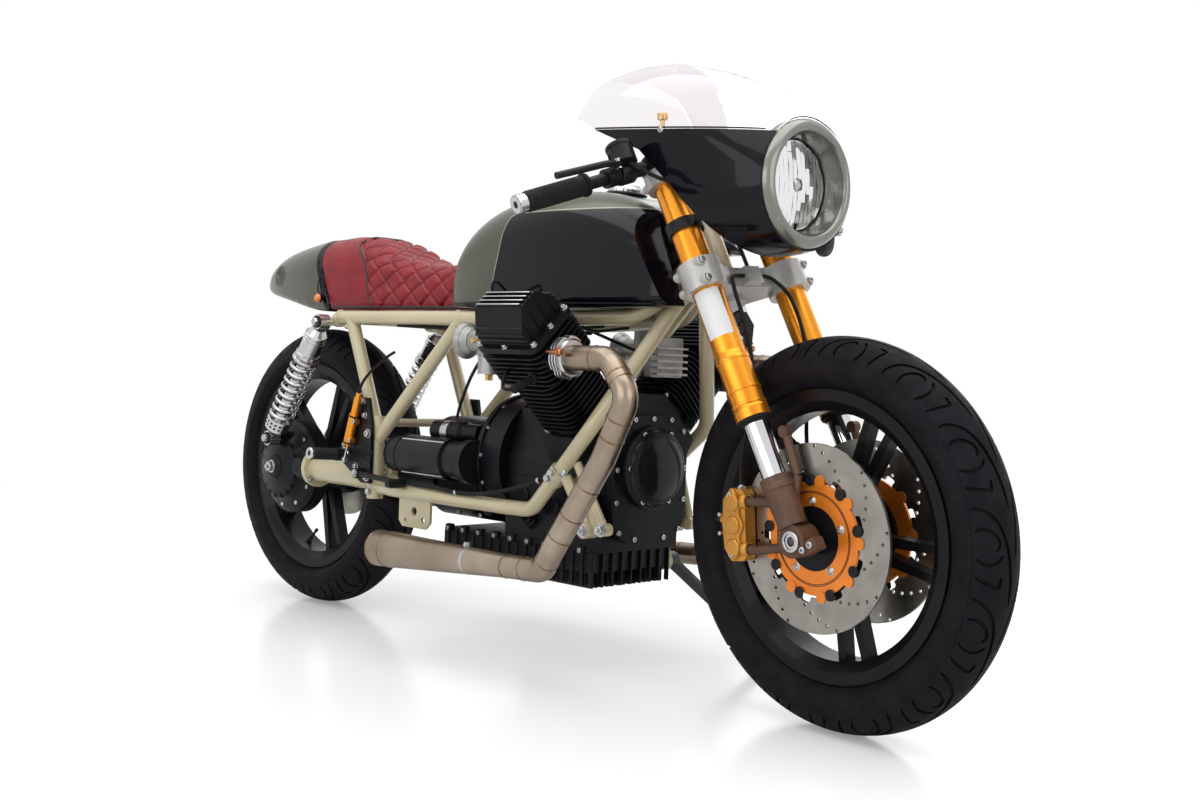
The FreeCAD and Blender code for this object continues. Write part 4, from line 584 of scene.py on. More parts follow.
def tread(radius, width, count, along, across):
    """One pitch of the tread laid flat: points, triangles, and which triangles are the floor of a groove."""
    pitch, half = 2 * math.pi * radius / count, width / 2 * math.radians(CROWN_ARC)
    rows = [half * (2 * k / across - 1) for k in range(across + 1)]
    columns = [pitch * k / along for k in range(along + 1)]
    edge = ([(x, -half) for x in columns] + [(pitch, y) for y in rows[1:-1]]
            + [(x, half) for x in columns[::-1]] + [(0.0, y) for y in rows[-2:0:-1]])
    points, faces = [Vector(p) for p in edge], [list(range(len(edge)))]
    for side, shift in ((1, 0.0), (-1, 0.5)):
        for groove in GROOVES:
            for turn in (-2, -1, 0, 1):
                line = [((x + shift + turn) * pitch, side * y * half) for x, y in groove]
                if max(p[0] for p in line) < -5 or min(p[0] for p in line) > pitch + 5:
                    continue
                outline = strip(line, GROOVE_WIDE)
                faces.append(list(range(len(points), len(points) + len(outline))))
                points += [Vector(p) for p in outline]
    points += [Vector((x, y)) for x in columns[1:-1] for y in rows[1:-1]]
    spots, _, triangles, _, _, owners = delaunay_2d_cdt(points, [], faces, 0, 1e-4)
    kept = [(t, len(o) > 1) for t, o in zip(triangles, owners) if 0 in o]
    return spots, kept


def tyre(name, node, radius, width, bead, frame_at, body, count, along=18, across=26):
    """A tyre with its tread's pitches wrapped round the crown and a curved wall down to the bead."""
    crown, middle = width / 2, radius - width / 2

    def wrap(turn, over, depth):
        angle, lean = -turn / radius, over / crown
        reach = middle + (crown - depth) * math.cos(lean)
        return Vector((reach * math.cos(angle), (crown - depth) * math.sin(lean), reach * math.sin(angle)))
    bm = bmesh.new()
    spots, kept = tread(radius, width, count, along, across)
    pitch = 2 * math.pi * radius / count
    limit = crown * math.radians(CROWN_ARC) - 0.01
    for k in range(count):
        top, low, sides = {}, {}, {}

        def corner(i, floor):
            store = low if floor else top
            if i not in store:
                p = spots[i]
                depth = GROOVE_DEEP * min(1.0, (limit - abs(p.y)) / 6 + 0.15) if floor else 0.0
                store[i] = bm.verts.new(wrap(p.x + k * pitch, p.y, depth))
            return store[i]
        for triangle, floor in kept:
            bm.faces.new([corner(i, floor) for i in triangle])
            for a, b in zip(triangle, triangle[1:] + triangle[:1]):
                sides.setdefault((min(a, b), max(a, b)), []).append(floor)
        for (a, b), floors in sides.items():
            if len(floors) == 2 and floors[0] != floors[1]:
                bm.faces.new((corner(a, False), corner(b, False), corner(b, True), corner(a, True)))
    bmesh.ops.remove_doubles(bm, verts=bm.verts, dist=0.02)
    seat = Vector((BEAD_RADIUS, bead))
    start = Vector((middle, crown))
    chord = seat - start
    side = Vector((chord.y, -chord.x)).normalized()
    centre = start + chord / 2 - side * math.sqrt(WALL_ROUND ** 2 - chord.length_squared / 4)
    first, last = ((p - centre) for p in (start, seat))
    turn = first.angle_signed(last)
    angles = [math.radians(v) for v in (CROWN_ARC, 70.2, 71, 72, 75, 79, 83, 87)]
    wall = [(middle + crown * math.cos(a), crown * math.sin(a)) for a in angles]
    for k in range(15):
        a = -turn * k / 14
        p = centre + Vector((first.x * math.cos(a) - first.y * math.sin(a),
                             first.x * math.sin(a) + first.y * math.cos(a)))
        wall.append((p.x, p.y))
    dips = {1: 0.9, 2: 0.9, 10: 0.5, 12: 0.5, 13: 0.5, 19: 1.0, 20: 0.2}
    wall = [(r - dips.get(k, 0) * 0.5, y - dips.get(k, 0)) for k, (r, y) in enumerate(wall)]
    wall += [(229.5, bead), (228.7, bead - 3), (228.7, 0)]
    turned = spun(90, "X")
    for mirror in (1, -1):
        lathe(bm, wall, turned @ Matrix.Scale(mirror, 4, (0, 0, 1)), count * along)
    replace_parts(piece(name, bm, "tyre", body, frame_at, 28), node)


# ------------------------------------------------------------ wheels, brakes and fork
def fork_label():
    """The blank paper label round the front of the right fork tube."""
    bm = bmesh.new()
    rows = []
    for reach in (26.95, 27.2):
        for z in (362, 449):
            angles = [math.radians(a) for a in range(250, 356, 5)]
            rows.append([bm.verts.new((reach * math.cos(a), reach * math.sin(a) - LEG, z)) for a in angles])
    for low, high in ((0, 1), (3, 2), (1, 3), (2, 0)):
        for k in range(len(rows[0]) - 1):
            bm.faces.new((rows[low][k], rows[low][k + 1], rows[high][k + 1], rows[high][k]))
    for k in (0, -1):
        bm.faces.new((rows[0][k], rows[1][k], rows[3][k], rows[2][k]))
    bmesh.ops.recalc_face_normals(bm, faces=bm.faces)
    piece("fork_label", bm, "white_paint", "steering", FORK)


def wheel_trim():
    """Carrier bolts and rings, valves, axle pinch bolts and clamps."""
    bm, steel = meshes(2)
    for side, out in OUTWARD.items():
        face = shifted(0, side * 69.6, 0) @ out
        for spot, _ in around(5, 61, 64):
            lathe(steel, [(7.5, 0), (7.2, 0.8), (5.5, 1.4)], face @ Matrix.Translation(spot), 24)
            bolt(steel, face @ Matrix.Translation(spot + Vector((0, 0, 1.0))), 5.2, 2.6, "button")
        for radius in (74, 76.4):
            lathe(bm, [(radius, 0.05), (radius + 0.2, 0.55), (radius + 1.0, 0.55), (radius + 1.2, 0.05)],
                  face, 96)
        for spot, _ in around(9, 95, 14 * side):
            place = shifted(0, side * 71.9, 0) @ out @ Matrix.Translation(spot)
            lathe(bm, [(9.6, -0.4), (9.6, 0.6), (8.2, 1.2), (4.5, 1.2), (4.0, 0.5), (0, 0.5)], place, 28)
    piece("carrier_bolts", steel, "steel", "front_wheel", FORK)
    piece("carrier_trim", bm, "black", "front_wheel", FORK)
    for end, frame_at, angle in (("front", FORK, 100), ("rear", REAR, 250)):
        bm = bmesh.new()
        way = Vector((math.cos(math.radians(angle)), -0.5, math.sin(math.radians(angle))))
        root = Vector((204 * way.x, 0, 204 * way.z))
        stem = aim(root, -way)
        lathe(bm, [(6.5, -3), (6.5, 3), (4.2, 5), (4.2, 12), (2.8, 13), (2.8, 26), (4.4, 26.4), (4.4, 34),
                   (3.6, 35.5), (0, 35.5)], stem, 20, knurled(0.25, 18, 26.2, 34.5))
        piece(end + "_valve", bm, "rubber", end + "_wheel", frame_at, slot="silver_steel")
    bm = bmesh.new()
    for side, out in OUTWARD.items():
        lathe(bm, [(17, 0), (17, 1.6), (15.6, 2.4), (13.2, 2.4), (12.6, 1.2)],
              shifted(0, side * 123.1, 0) @ out, 40)
        for x, z in ((22, -15), (40, -13)):
            lathe(bm, [(5.6, -6), (5.6, 5), (4.8, 6), (3, 6, 6), (2.8, 2.5, 6), (0, 2.2)],
                  shifted(x - 4, side * 121, z - 6) @ out, 24)
    piece("axle_pinch_bolts", bm, "steel", "steering", FORK)
    bm = bmesh.new()
    for side in SIDES:
        box(bm, (8, side * 108 - 13, -30), (44, side * 108 + 13, -8), Matrix(), 4)
        lathe(bm, [(24.9, 58), (28.3, 60), (28.3, 68), (27.4, 70), (25, 78)],
              shifted(0, side * LEG, 27), 48)
    piece("axle_clamps", bm, "bronze", "steering", FORK)


CALIPER = shifted(-125, 0, 75) @ spun(25, "Y")


def calipers():
    """Wavy six-pot bodies over the caliper blocks, with pistons' caps, pins, nipples and a hose union."""
    bm, dark, steel = meshes(3)
    for side, out in OUTWARD.items():
        for level, flip in ((29.2, 0), (-29.2, 180)):
            face = CALIPER @ shifted(0, side * (67 + level), 0) @ out @ spun(flip, "X")
            outline = []
            for k in range(72):
                angle = 2 * math.pi * k / 72
                z = 60 * math.sin(angle)
                x = (19 + 4.2 * math.cos(z / 60 * math.pi * 3)) * math.cos(angle) - 6
                outline.append((x, z))
            prism(bm, outline, -3, 5.4, face, 2.2)
            for z in (-38, 0, 38):
                lathe(bm, [(15.5, 4.6), (15.2, 7.6), (13.2, 9.2), (7, 9.6), (0, 9.6)],
                      face @ shifted(-4, z, 0), 36)
            for z in (-50, 50):
                bolt(steel, face @ shifted(-8, z, 5.3), 5, 4, "socket")
        for z in (-40, 40):
            place = CALIPER @ shifted(18.5, side * 90, z) @ FORWARD
            lathe(bm, [(13, -6), (13, 2), (11.8, 4), (9.6, 5)], place, 32)
        union = CALIPER @ shifted(-30, side * 84, 6) @ BACKWARD
        lathe(bm, [(9, -4), (9, 8), (6.5, 9.5), (6.5, 15)], union, 24)
        lathe(dark, [(5.2, 14), (5.2, 24), (3, 27), (3, 31), (0, 32)], union, 20)
        for z in (-16, 16):
            rod_at = CALIPER @ shifted(-36.5, side * 67 - 31, z) @ spun(-90, "X")
            lathe(steel, [(0, -4), (3.4, -3.6), (3.4, 66), (0, 66.4)], rod_at, 16)
        top = CALIPER @ shifted(2, side * 84, 58)
        lathe(steel, [(8, -1), (8, 1.5), (6.8, 1.5, 6), (6.8, 6, 6), (5.4, 6.6), (3.9, 9), (0, 9.2)], top,
              24)
    piece("caliper_bodies", bm, "caliper", "steering", FORK)
    piece("caliper_fittings", dark, "rubber", "steering", FORK)
    piece("caliper_pins", steel, "steel", "steering", FORK)


def fork_trim():
    """Dust seals, machined rings, caps, and the bosses and bolts of the yokes."""
    gold, seal, grey, steel, light = meshes(5)
    for side in SIDES:
        leg = shifted(0, side * LEG, 0)
        lathe(seal, [(21.6, 209), (26, 208.4), (28.6, 209.4), (29.6, 213.9), (22, 213.9)], leg, 56)
        lathe(seal, [(21.6, 205), (23.4, 204.6), (24.6, 208.6), (21.6, 208.6)], leg, 56)
        for low in (222, 236, 262):
            lathe(gold, [(28.4, low), (30.2, low + 0.8), (30.4, low + 2), (30.2, low + 5.2),
                         (28.4, low + 6)], leg, 64)
        lathe(gold, [(28.3, 316), (29.2, 317), (29.2, 325), (27.1, 329)], leg, 64)
        cap = leg @ shifted(0, 0, 722)
        lathe(grey, [(27.6, 0), (27.6, 3), (25.5, 5.2), (19, 5.2), (18, 3.6), (13.5, 3.6), (13, 9, 6),
                     (12, 10.6, 6), (4.5, 10.6), (4.4, 7), (0, 7)], cap, 48)
        for z in (459, 492):
            at = shifted(-32, side * (LEG + 20), z + 6) @ BACKWARD
            lathe(light, [(8.6, -10), (8.6, 6), (7.4, 7.2), (5.9, 7.2)], at, 28)
            bolt(steel, at @ shifted(0, 0, 7), 5.4, 3.2)
        at = shifted(-32, side * (LEG + 20), 674) @ BACKWARD
        lathe(light, [(8, -10), (8, 5), (7, 6), (5.4, 6)], at, 28)
        bolt(steel, at @ shifted(0, 0, 5.8), 5, 4)
        for z in (462, 496):
            at = shifted(26, side * (LEG + 24), z) @ FORWARD
            lathe(light, [(8.6, -24), (8.6, 6), (7.4, 7.2), (5.9, 7.2)], at, 28)
            bolt(steel, at @ shifted(0, 0, 7), 5.4, 5.2)
    lathe(steel, [(23, 0), (23, 3), (19, 3.8), (18, 3.8, 6), (17, 16, 6), (15, 18, 6), (7, 18), (6.5, 14),
                  (0, 14)], shifted(-STEM_OFFSET, 0, 688), 48)
    piece("fork_seals", seal, "rubber", "steering", FORK)
    piece("fork_rings", gold, "gold", "steering", FORK)
    piece("fork_caps", grey, "gold", "steering", FORK)
    piece("yoke_bosses", light, "grey", "steering", FORK)
    piece("yoke_bolts", steel, "steel", "steering", FORK)


# ------------------------------------------------------------ controls
def bar_ends(side):
    inner, outer = Vector((-12, side * 132, 706)), Vector((-65, side * 385, 649))
    return inner, outer, (outer - inner).normalized()


def controls():
    """Grips, bar end weights, lever pivots, the reservoir's lid and the switch pods."""
    grip, steel, dark, glass = meshes(4)
    for side in SIDES:
        inner, outer, along = bar_ends(side)
        at = aim(outer - along * 132, along)
        rows = [(16.6, 0), (20.5, 0.6), (21, 3), (20.5, 5.4), (17.2, 6.2)]
        rows += [(17.2 + (0.9 if k % 2 else 0), 8 + k * 2.0) for k in range(6)]
        rows += [(17.6, 20 + k * 2.6) for k in range(33)]
        rows += [(17.2 + (0.9 if k % 2 else 0), 107 + k * 2.0) for k in range(8)]
        rows += [(17.4, 124), (16.6, 127)]
        lathe(grip, rows, at, 96, knurled(0.55, 36, 20, 104))
        end = aim(outer - along * 3.2, along)
        lathe(steel, [(15.6, 0), (16.4, 0.8), (16.4, 15.5), (14.8, 17.3), (6.2, 17.3), (5.8, 14.5, 6),
                      (0, 14)], end, 48)
        start = inner + along * 78
        for z in (-9, 9):
            bolt(steel, aim(start + along * z + Vector((-17.5, 0, 2)), (-1, 0, 0.1)), 3.4, 3.2)
        forward = Vector((0.55, 0, 0.1))
        pivot = start + forward * 62 + along * 5
        lathe(steel, [(0, -9), (6, -9), (6, -8), (4, -8), (4, 8), (6, 8), (6, 9), (4, 9.6), (0, 9.6)],
              aim(pivot, (0.1, 0, 1)), 20)
        if side < 0:
            pot = start + forward * 40 + Vector((0, 0, 4)) - along * 18
            lathe(dark, [(23.1, 30), (24.6, 30.6), (24.6, 36.5), (23, 38), (8, 38.6), (0, 38.6)],
                  Matrix.Translation(pot), 40)
            lathe(glass, [(11, 0), (11, 0.6), (0, 1.4)],
                  aim(pot + Vector((-16, -16.4, 17)), (-0.7, -0.72, 0)), 24)
            for x, y in ((-12, -12), (12, 12), (-12, 12), (12, -12)):
                bolt(steel, Matrix.Translation(pot + Vector((x, y, 38.0))), 2.6, 1.4, "dome")
        pod = aim(start - along * 30, along)
        lathe(dark, [(11.4, -16), (18, -15.4), (19.5, -13), (19.5, 13), (18, 15.4), (11.4, 16)], pod, 32,
              lambda a, h: 3.2 * max(0.0, math.cos(a)) ** 6)
        box(dark, (-6, 13, -9), (6, 21.5, 9), pod, 1.6)
        box(glass, (-3.4, 20.8, -4), (3.4, 23, 4), pod, 0.9)
    piece("grip_covers", grip, "rubber", "steering", FORK)
    piece("bar_weights", steel, "alloy", "steering", FORK)
    piece("control_pods", dark, "black", "steering", FORK)
    piece("control_buttons", glass, "dark", "steering", FORK)


def mirror_and_gauge():
    """The bar end mirror, the round gauge and the windscreen's knob."""
    _, outer, along = bar_ends(1)
    end = outer + along * 14.3
    facing = Vector((-0.87, -0.17, 0.46)).normalized()
    centre = end + Vector((-36, 12, -4))
    face = aim(centre, facing)
    bm = bmesh.new()
    lathe(bm, [(33.4, 10.2), (33.2, 10.35), (24, 10.6), (12, 10.8), (0, 10.85)], face, 64)
    piece("mirror_glass", bm, "mirror", "steering", FORK)
    bm = bmesh.new()
    lathe(bm, [(35.3, 2), (35.9, 5), (35.5, 9.6), (34.2, 10.6), (33.3, 10.1)], face, 64)
    lathe(bm, [(22.2, -4.2), (23, -5.4), (20, -6.4), (12, -6.8), (11, -9.6), (0, -10.4)], face, 48)
    piece("mirror_rim", bm, "black", "steering", FORK)
    bm = bmesh.new()
    knuckle = end + along * 12
    lathe(bm, [(0, -12), (6.4, -12, 6), (6.8, -6, 6), (9.4, -5.6), (9.4, 5.6), (6.8, 6, 6), (6.4, 12, 6),
               (0, 12)], aim(knuckle, (0.3, 0, 1)), 30)
    piece("mirror_bolt", bm, "steel", "steering", FORK)
    bm, dial = meshes(2)
    gauge = shifted(-72, -22, 758)
    lathe(bm, [(40.2, -7), (41.4, -6), (41.4, -1.2), (39.4, 0.6), (36.4, 0.6), (35.2, -1.4)], gauge, 72)
    lathe(dial, [(35, -2.8), (30, -2.7), (0, -2.7)], gauge, 48)
    marks = bmesh.new()
    for k in range(25):
        way = spun(-130 + k * 260 / 24, "Z")
        box(marks, (28 if k % 4 else 25, -0.5, -2.6), (32, 0.5, -2.3), gauge @ way, 0.1)
    needle = gauge @ spun(-128, "Z")
    prism(marks, [(-6, -1.4), (24, -0.4), (24, 0.4), (-6, 1.4)], -2.1, -1.7, needle)
    lathe(marks, [(3.8, -2.6), (3.8, -1.4), (0, -0.9)], gauge, 24)
    piece("gauge_bezel", bm, "alloy", "steering", FORK)
    piece("gauge_dial", dial, "dark", "steering", FORK)
    piece("gauge_marks", marks, "white_paint", "steering", FORK, slot="grey_yoke")
    glass = bmesh.new()
    lathe(glass, [(35.6, -1.2), (34, -0.9), (18, -0.4), (0, -0.2)], gauge, 48)
    piece("gauge_glass", glass, "lens", "steering", FORK)
    knob = bmesh.new()
    lathe(knob, [(4.5, -30), (4.5, 0), (9.2, 0.6), (9.6, 3), (9.6, 12), (8.6, 13.4), (0, 13.8)],
          shifted(364, -60, 1037), 32, knurled(0.35, 20, 2, 12.5))
    lathe(knob, [(3, -66), (3, -30)], shifted(364, -60, 1037), 16)
    piece("screen_knob", knob, "brass", "steering", STEERING)


# ------------------------------------------------------------ lamp and fairing
def lamp_trim():
    """The lens over a fan of small tilted mirrors, with its seal, bulb cap, ring edges and bolts."""
    glass, facets, seal, bulb = meshes(4)
    rows = [(76.2, -18.5), (75.6, -15.0), (72, -12.6)]
    rows += [(70 * (1 - k / 9), -12.2 + 7.5 * (1 - (1 - k / 9) ** 2)) for k in range(1, 10)]
    lathe(glass, rows, LAMP, 96)
    piece("lamp_lens", glass, "lens", "steering", Matrix(), 60)
    lathe(seal, [(77.6, -19), (77.8, -15), (76.4, -13.8), (75.4, -15), (75.4, -19)], LAMP, 96)
    piece("lamp_seal", seal, "rubber", "steering", Matrix())
    for column in range(-7, 7):
        for row in range(-4, 4):
            corners = []
            lean = math.sin(column * 2.4 + row * 1.7), math.cos(column * 1.3 - row * 2.9)
            for step, rise in ((0, 0), (1, 0), (1, 1), (0, 1)):
                across_way = (column + step) * 10.4 + (-0.25 if step else 0.25)
                up_way = (row + rise + 0.33 * (column % 3)) * 21 + (-0.4 if rise else 0.4)
                spot = Vector((up_way, across_way, 0))
                spot *= min(1.0, 73.5 / max(spot.length, 1))
                tilt = 1.3 * (lean[0] * (step - 0.5) + lean[1] * (rise - 0.5))
                height = -8.6 - 9.5 * (spot.length / 75) ** 2 + tilt
                corners.append(LAMP @ Vector((spot.x, spot.y, height)))
            if (corners[0] - corners[2]).length > 0.012:
                facets.faces.new([facets.verts.new(p) for p in corners])
    piece("lamp_reflector", facets, "mirror", "steering", Matrix(), 5)
    lathe(bulb, [(11, -12), (11, -8.4), (9.6, -7.2), (5, -6.7), (0, -6.7)], LAMP, 40)
    lathe(bulb, [(12.4, -12), (13.2, -9.4), (11.4, -8.6)], LAMP, 40)
    piece("lamp_bulb_cap", bulb, "alloy", "steering", Matrix())
    bm = bmesh.new()
    for radius, height in ((108.75, -2), (108.75, 6)):
        lathe(bm, [(radius - 0.3, height - 0.8), (radius, height), (radius - 0.3, height + 0.8)], LAMP, 128)
    for angle in (52, 128, 232, 308):
        at = LAMP @ spun(angle, "Z") @ shifted(101, 0, 21.5) @ spun(38, "Y")
        bolt(bm, at, 3.6, 2.0, "button")
    piece("lamp_ring_trim", bm, "satin", "steering", Matrix())


def nose_screws():
    """The screw on each side of the fairing and the seal along the windscreen's lower edge."""
    steel, dark = meshes(2)
    for side in SIDES:
        at = onto("fairing", STEERING, (451, side * 260, 1006), (0, -side, 0))
        lathe(steel, [(6.6, -0.2), (6.4, 0.7), (4.6, 1.0)], at, 28)
        bolt(steel, at @ shifted(0, 0, 0.8), 4.3, 2.3, "button")
    piece("fairing_screws", steel, "steel", "steering", STEERING)
    for side in SIDES:
        line = []
        for x in range(288, 656, 16):
            z = 1025 - (x - 285) * 0.0843
            edge = onto("windscreen", STEERING, (x, side * 260, z), (0, -side, 0)).translation
            line.append(edge + Vector((0, side * 0.3, -2.6)))
        pipe(dark, line, 1.5, 8)
    piece("screen_seal", dark, "rubber", "steering", STEERING)


# ------------------------------------------------------------ engine
def heads():
    """Fins and bolts of the rocker covers, exhaust collars, spark plugs and their leads."""
    ribs, edge, steel, copper, collar, lead, plug = meshes(7)
    for side, local in BANKS.items():
        for y in (-17, -6.5, 4, 14.5):
            box(ribs, (-58, -side * y - 2.1, HEAD_TOP - 2), (58, -side * y + 2.1, HEAD_TOP + 4.2), local,
                1.1)
            box(edge, (-57, -side * y - 1.2, HEAD_TOP + 3.7), (57, -side * y + 1.2, HEAD_TOP + 4.7), local,
                0.35)
        for step in range(5):
            high = 350 + 10 * step
            for out in SIDES:
                reach = 51.2 if high < 382 else 51.2 - (high - 382) * (0.5 if out == -side else 0.8)
                box(ribs, (-62.6, out * reach - 2.2, high - 1.6), (62.6, out * reach + 2.2, high + 1.6),
                    local, 1.0)
        for x in (-62.3, 62.3):
            for y in (-36, -12, 12, 36):
                box(ribs, (x - 1.8, y - 1.7, 356), (x + 1.8, y + 1.7, 404 - abs(y) * 0.3), local, 0.8)
        for x, y in ((-70, -48), (0, -54), (70, -48), (-70, 48), (0, 54), (70, 48), (-74, 0), (74, 0)):
            lathe(steel, [(7.4, 353.8), (7.2, 355), (5, 355.3)], local @ shifted(x, y, 0), 24)
            bolt(steel, local @ shifted(x, y, 355), 5, 5.4)
        lathe(steel, [(0, 394), (3.2, 394)], local, 8)  # a small disc, hidden under the cover
        port = local @ shifted(PORT_X, side * 22, PORT_HIGH) @ FORWARD
        for k in range(3):
            rows = [(30, 1 + 7 * k), (38.4, 1.4 + 7 * k), (38.8, 2.8 + 7 * k), (38.4, 4.2 + 7 * k),
                    (30, 4.6 + 7 * k)]
            lathe(collar, rows, port, 72, lambda a, h: -3.4 if math.cos(6 * a) < -0.55 else 0.0)
        lathe(collar, [(30, 0), (33.6, 0.4), (33.6, 22), (30.5, 24.6), (22.2, 25.2)], port, 56)
        for angle in (30, 210):
            place = port @ spun(angle, "Z") @ shifted(35, 0, 0)
            lathe(copper, [(3.5, -8), (3.5, 32), (0, 32)], place, 18)
            lathe(copper, [(8.6, 22), (8.6, 24), (6.6, 24, 6), (6.6, 30, 6), (5.6, 31)], place, 24)
        hole = local @ shifted(34, side * 56, 286) @ spun(-70 * side, "X")
        lathe(plug, [(0, -14), (8, -14), (8, 4), (10.5, 5), (10.5, 12, 6), (7, 13), (6.5, 30), (8.5, 34),
                     (8.5, 58), (5, 62), (0, 62)], hole, 24)
        start = hole @ Vector((0, 0, 58))
        flange = local @ shifted(-84, side * -14, PORT_HIGH) @ BACKWARD
        lathe(steel, [(20, -3), (31, -2.6), (31.5, 4.4), (28, 6), (21.5, 6)], flange, 48)
        for angle in (45, 225):
            place = flange @ spun(angle, "Z") @ shifted(26.5, 0, 5.6)
            bolt(steel, place, 4.4, 4.6)
        ends = [start, start + Vector((-30, 0, 10)), Vector((80, side * 120, 640)),
                Vector((40, side * 60, 668))]
        pipe(lead, ends, 3.4, 12)
        for x, y in ((-48, -48), (48, -48), (48, 48), (-48, 48)):
            lathe(steel, [(7, 132), (7, 138), (5.4, 138, 6), (5.4, 145, 6), (4.4, 146), (0, 146)],
                  local @ shifted(x, y, 0), 24)
    piece("rocker_cover_ribs", ribs, "engine")
    piece("rocker_cover_edges", edge, "alloy")
    piece("head_bolts", steel, "steel")
    piece("exhaust_collars", collar, "alloy")
    piece("exhaust_studs", copper, "copper")
    piece("plug_leads", lead, "rubber")
    piece("spark_plugs", plug, "rubber")


def front_covers():
    """The alternator's dome, the front bolts, and the ribs and bolts of the sump."""
    steel, dark, gloss = meshes(3)
    front = shifted(306.3, 0, CRANK_HIGH) @ FORWARD
    rows = [(71, 11), (72.6, 14), (71, 18), (66.6, 22.8), (60, 27), (50, 31), (38, 34.2), (26, 36),
            (12, 36.8), (0, 37)]
    lathe(gloss, rows, front, 96)
    lathe(gloss, [(77.2, 0.2), (78.4, 1.4), (78.4, 8.8), (76.6, 10.4), (70, 10.8)], front, 96)
    for spot, _ in around(6, 72.4, 30):
        place = front @ Matrix.Translation(spot + Vector((0, 0, 9)))
        lathe(gloss, [(8, -6), (8, 2), (6.8, 3)], place, 28)
        bolt(steel, place @ shifted(0, 0, 2.8), 4.8, 4.4)
    for y, z in ((-86, 470), (-92, 400), (-92, 340), (-82, 284), (-40, 270), (40, 270), (82, 284),
                 (92, 340), (92, 400), (86, 470), (-50, 492), (0, 494), (50, 492)):
        place = shifted(305.4, y, z) @ FORWARD
        bolt(steel, place, 5, 4.6)
    for k in range(9):
        y = -SUMP_SIDE + 26 * k
        box(dark, (258, y - 2.2, 178), (267.5, y + 2.2, 244), Matrix(), 1.2)
    for side in SIDES:
        for k in range(16):
            x = -150 + 26 * k
            box(dark, (x - 2.2, side * SUMP_SIDE - 3, 180), (x + 2.2, side * SUMP_SIDE + 3.2, 243),
                Matrix(), 1.2)
        for k in range(9):
            x = -148 + 48 * k
            place = shifted(x, side * 103.6, 246) @ OUTWARD[side]
            box(dark, (x - 9, side * SUMP_SIDE - 6, 238), (x + 9, side * SUMP_SIDE + 6, 254), Matrix(), 3)
            bolt(steel, place @ shifted(0, 0, 5.8), 4.6, 4.2)
        box(dark, (-160, side * SUMP_SIDE - 2, 243.5), (260, side * SUMP_SIDE + 3.4, 248.5), Matrix(), 1.2)
        for x, z, r in ((60, 330, 22), (150, 320, 16), (-30, 300, 14)):
            place = shifted(x, side * 103.4, z) @ OUTWARD[side]
            lathe(dark, [(r + 4, -1), (r + 4, 3), (r + 1, 5), (r, 5), (r - 4, 3.4), (0, 3.4)], place, 40)
        for z in (290, 352, 372):
            box(dark, (24, side * 103 - 2, z - 2), (280, side * 103 + 3.4, z + 2), Matrix(), 1.4)
    filler = shifted(96, -104, 286) @ spun(60, "X")
    lathe(dark, [(15, -8), (15, 6), (13, 8), (13, 16), (11, 18), (0, 18)], filler, 36,
          knurled(0.6, 16, 8.5, 15.5))
    piece("engine_bolts", steel, "steel")
    piece("engine_ribs", dark, "engine")
    piece("alternator_dome", gloss, "gloss_cast")


def gearbox_trim():
    """The bell's flange and bolts, the case's ribs, and the starter with its solenoid."""
    dark, steel, bare = meshes(3)
    flange = shifted(-41, 0, 393) @ FORWARD
    lathe(dark, [(120, -6), (131.5, -6), (132.6, -4.6), (132.6, 4.6), (131.5, 6), (120, 6)], flange, 120)
    for spot, _ in around(14, 124.5, 8):
        if spot.x <= 90:
            bolt(steel, flange @ Matrix.Translation(spot) @ shifted(0, 0, 5.8), 5.2, 4.4, "hex")
    for k in range(6):
        x = -224 + 34 * k
        for side in SIDES:
            box(dark, (x - 2.4, side * GEARBOX_SIDE - 2, 318), (x + 2.4, side * GEARBOX_SIDE + 4.4, 412),
                Matrix(), 1.4)
    for side in SIDES:
        box(dark, (-238, side * GEARBOX_SIDE - 2, 362), (-46, side * GEARBOX_SIDE + 4.6, 367), Matrix(),
            1.4)
        for x, z in ((-232, 300), (-232, 430), (-150, 448), (-80, 450), (-150, 276), (-80, 276)):
            place = shifted(x, side * (GEARBOX_SIDE if 300 < z < 430 else 78), z) @ OUTWARD[side]
            bolt(steel, place, 4.8, 6.4)
    starter = shifted(0, -134, 388) @ FORWARD
    for z in (-292, -252.5, -109, -59):
        r = 37 if z < -255 else 43
        lathe(dark, [(r - 1.4, z - 2.2), (r + 0.6, z - 1.6), (r + 0.6, z + 1.6), (r - 1.4, z + 2.2)],
              starter, 64)
    for angle in (35, 145, 215, 325):
        place = starter @ spun(angle, "Z") @ shifted(33, 0, -300)
        bolt(steel, place @ spun(180, "X"), 3.6, 3.2, "hex")
        lathe(steel, [(1.9, -246), (1.9, -112)], starter @ spun(angle, "Z") @ shifted(41.6, 0, 0), 10)
    solenoid = starter @ spun(150, "Z") @ shifted(62, 0, 0)
    lathe(dark, [(0, -206), (18, -206), (21.5, -202), (21.5, -128), (24, -126), (24, -112), (19, -108),
                 (19, -60), (0, -60)], solenoid, 48)
    lathe(bare, [(3, -226), (3, -206), (0, -205)], solenoid, 16)
    lathe(bare, [(5.8, -216, 6), (5.8, -211, 6), (0, -211)], solenoid, 24)
    lathe(bare, [(21.9, -170), (22.1, -169), (22.1, -150), (21.9, -149)], solenoid, 48)
    piece("gearbox_ribs", dark, "engine")
    piece("gearbox_bolts", steel, "steel")
    piece("starter_terminal", bare, "steel", slot="bronze_paint")


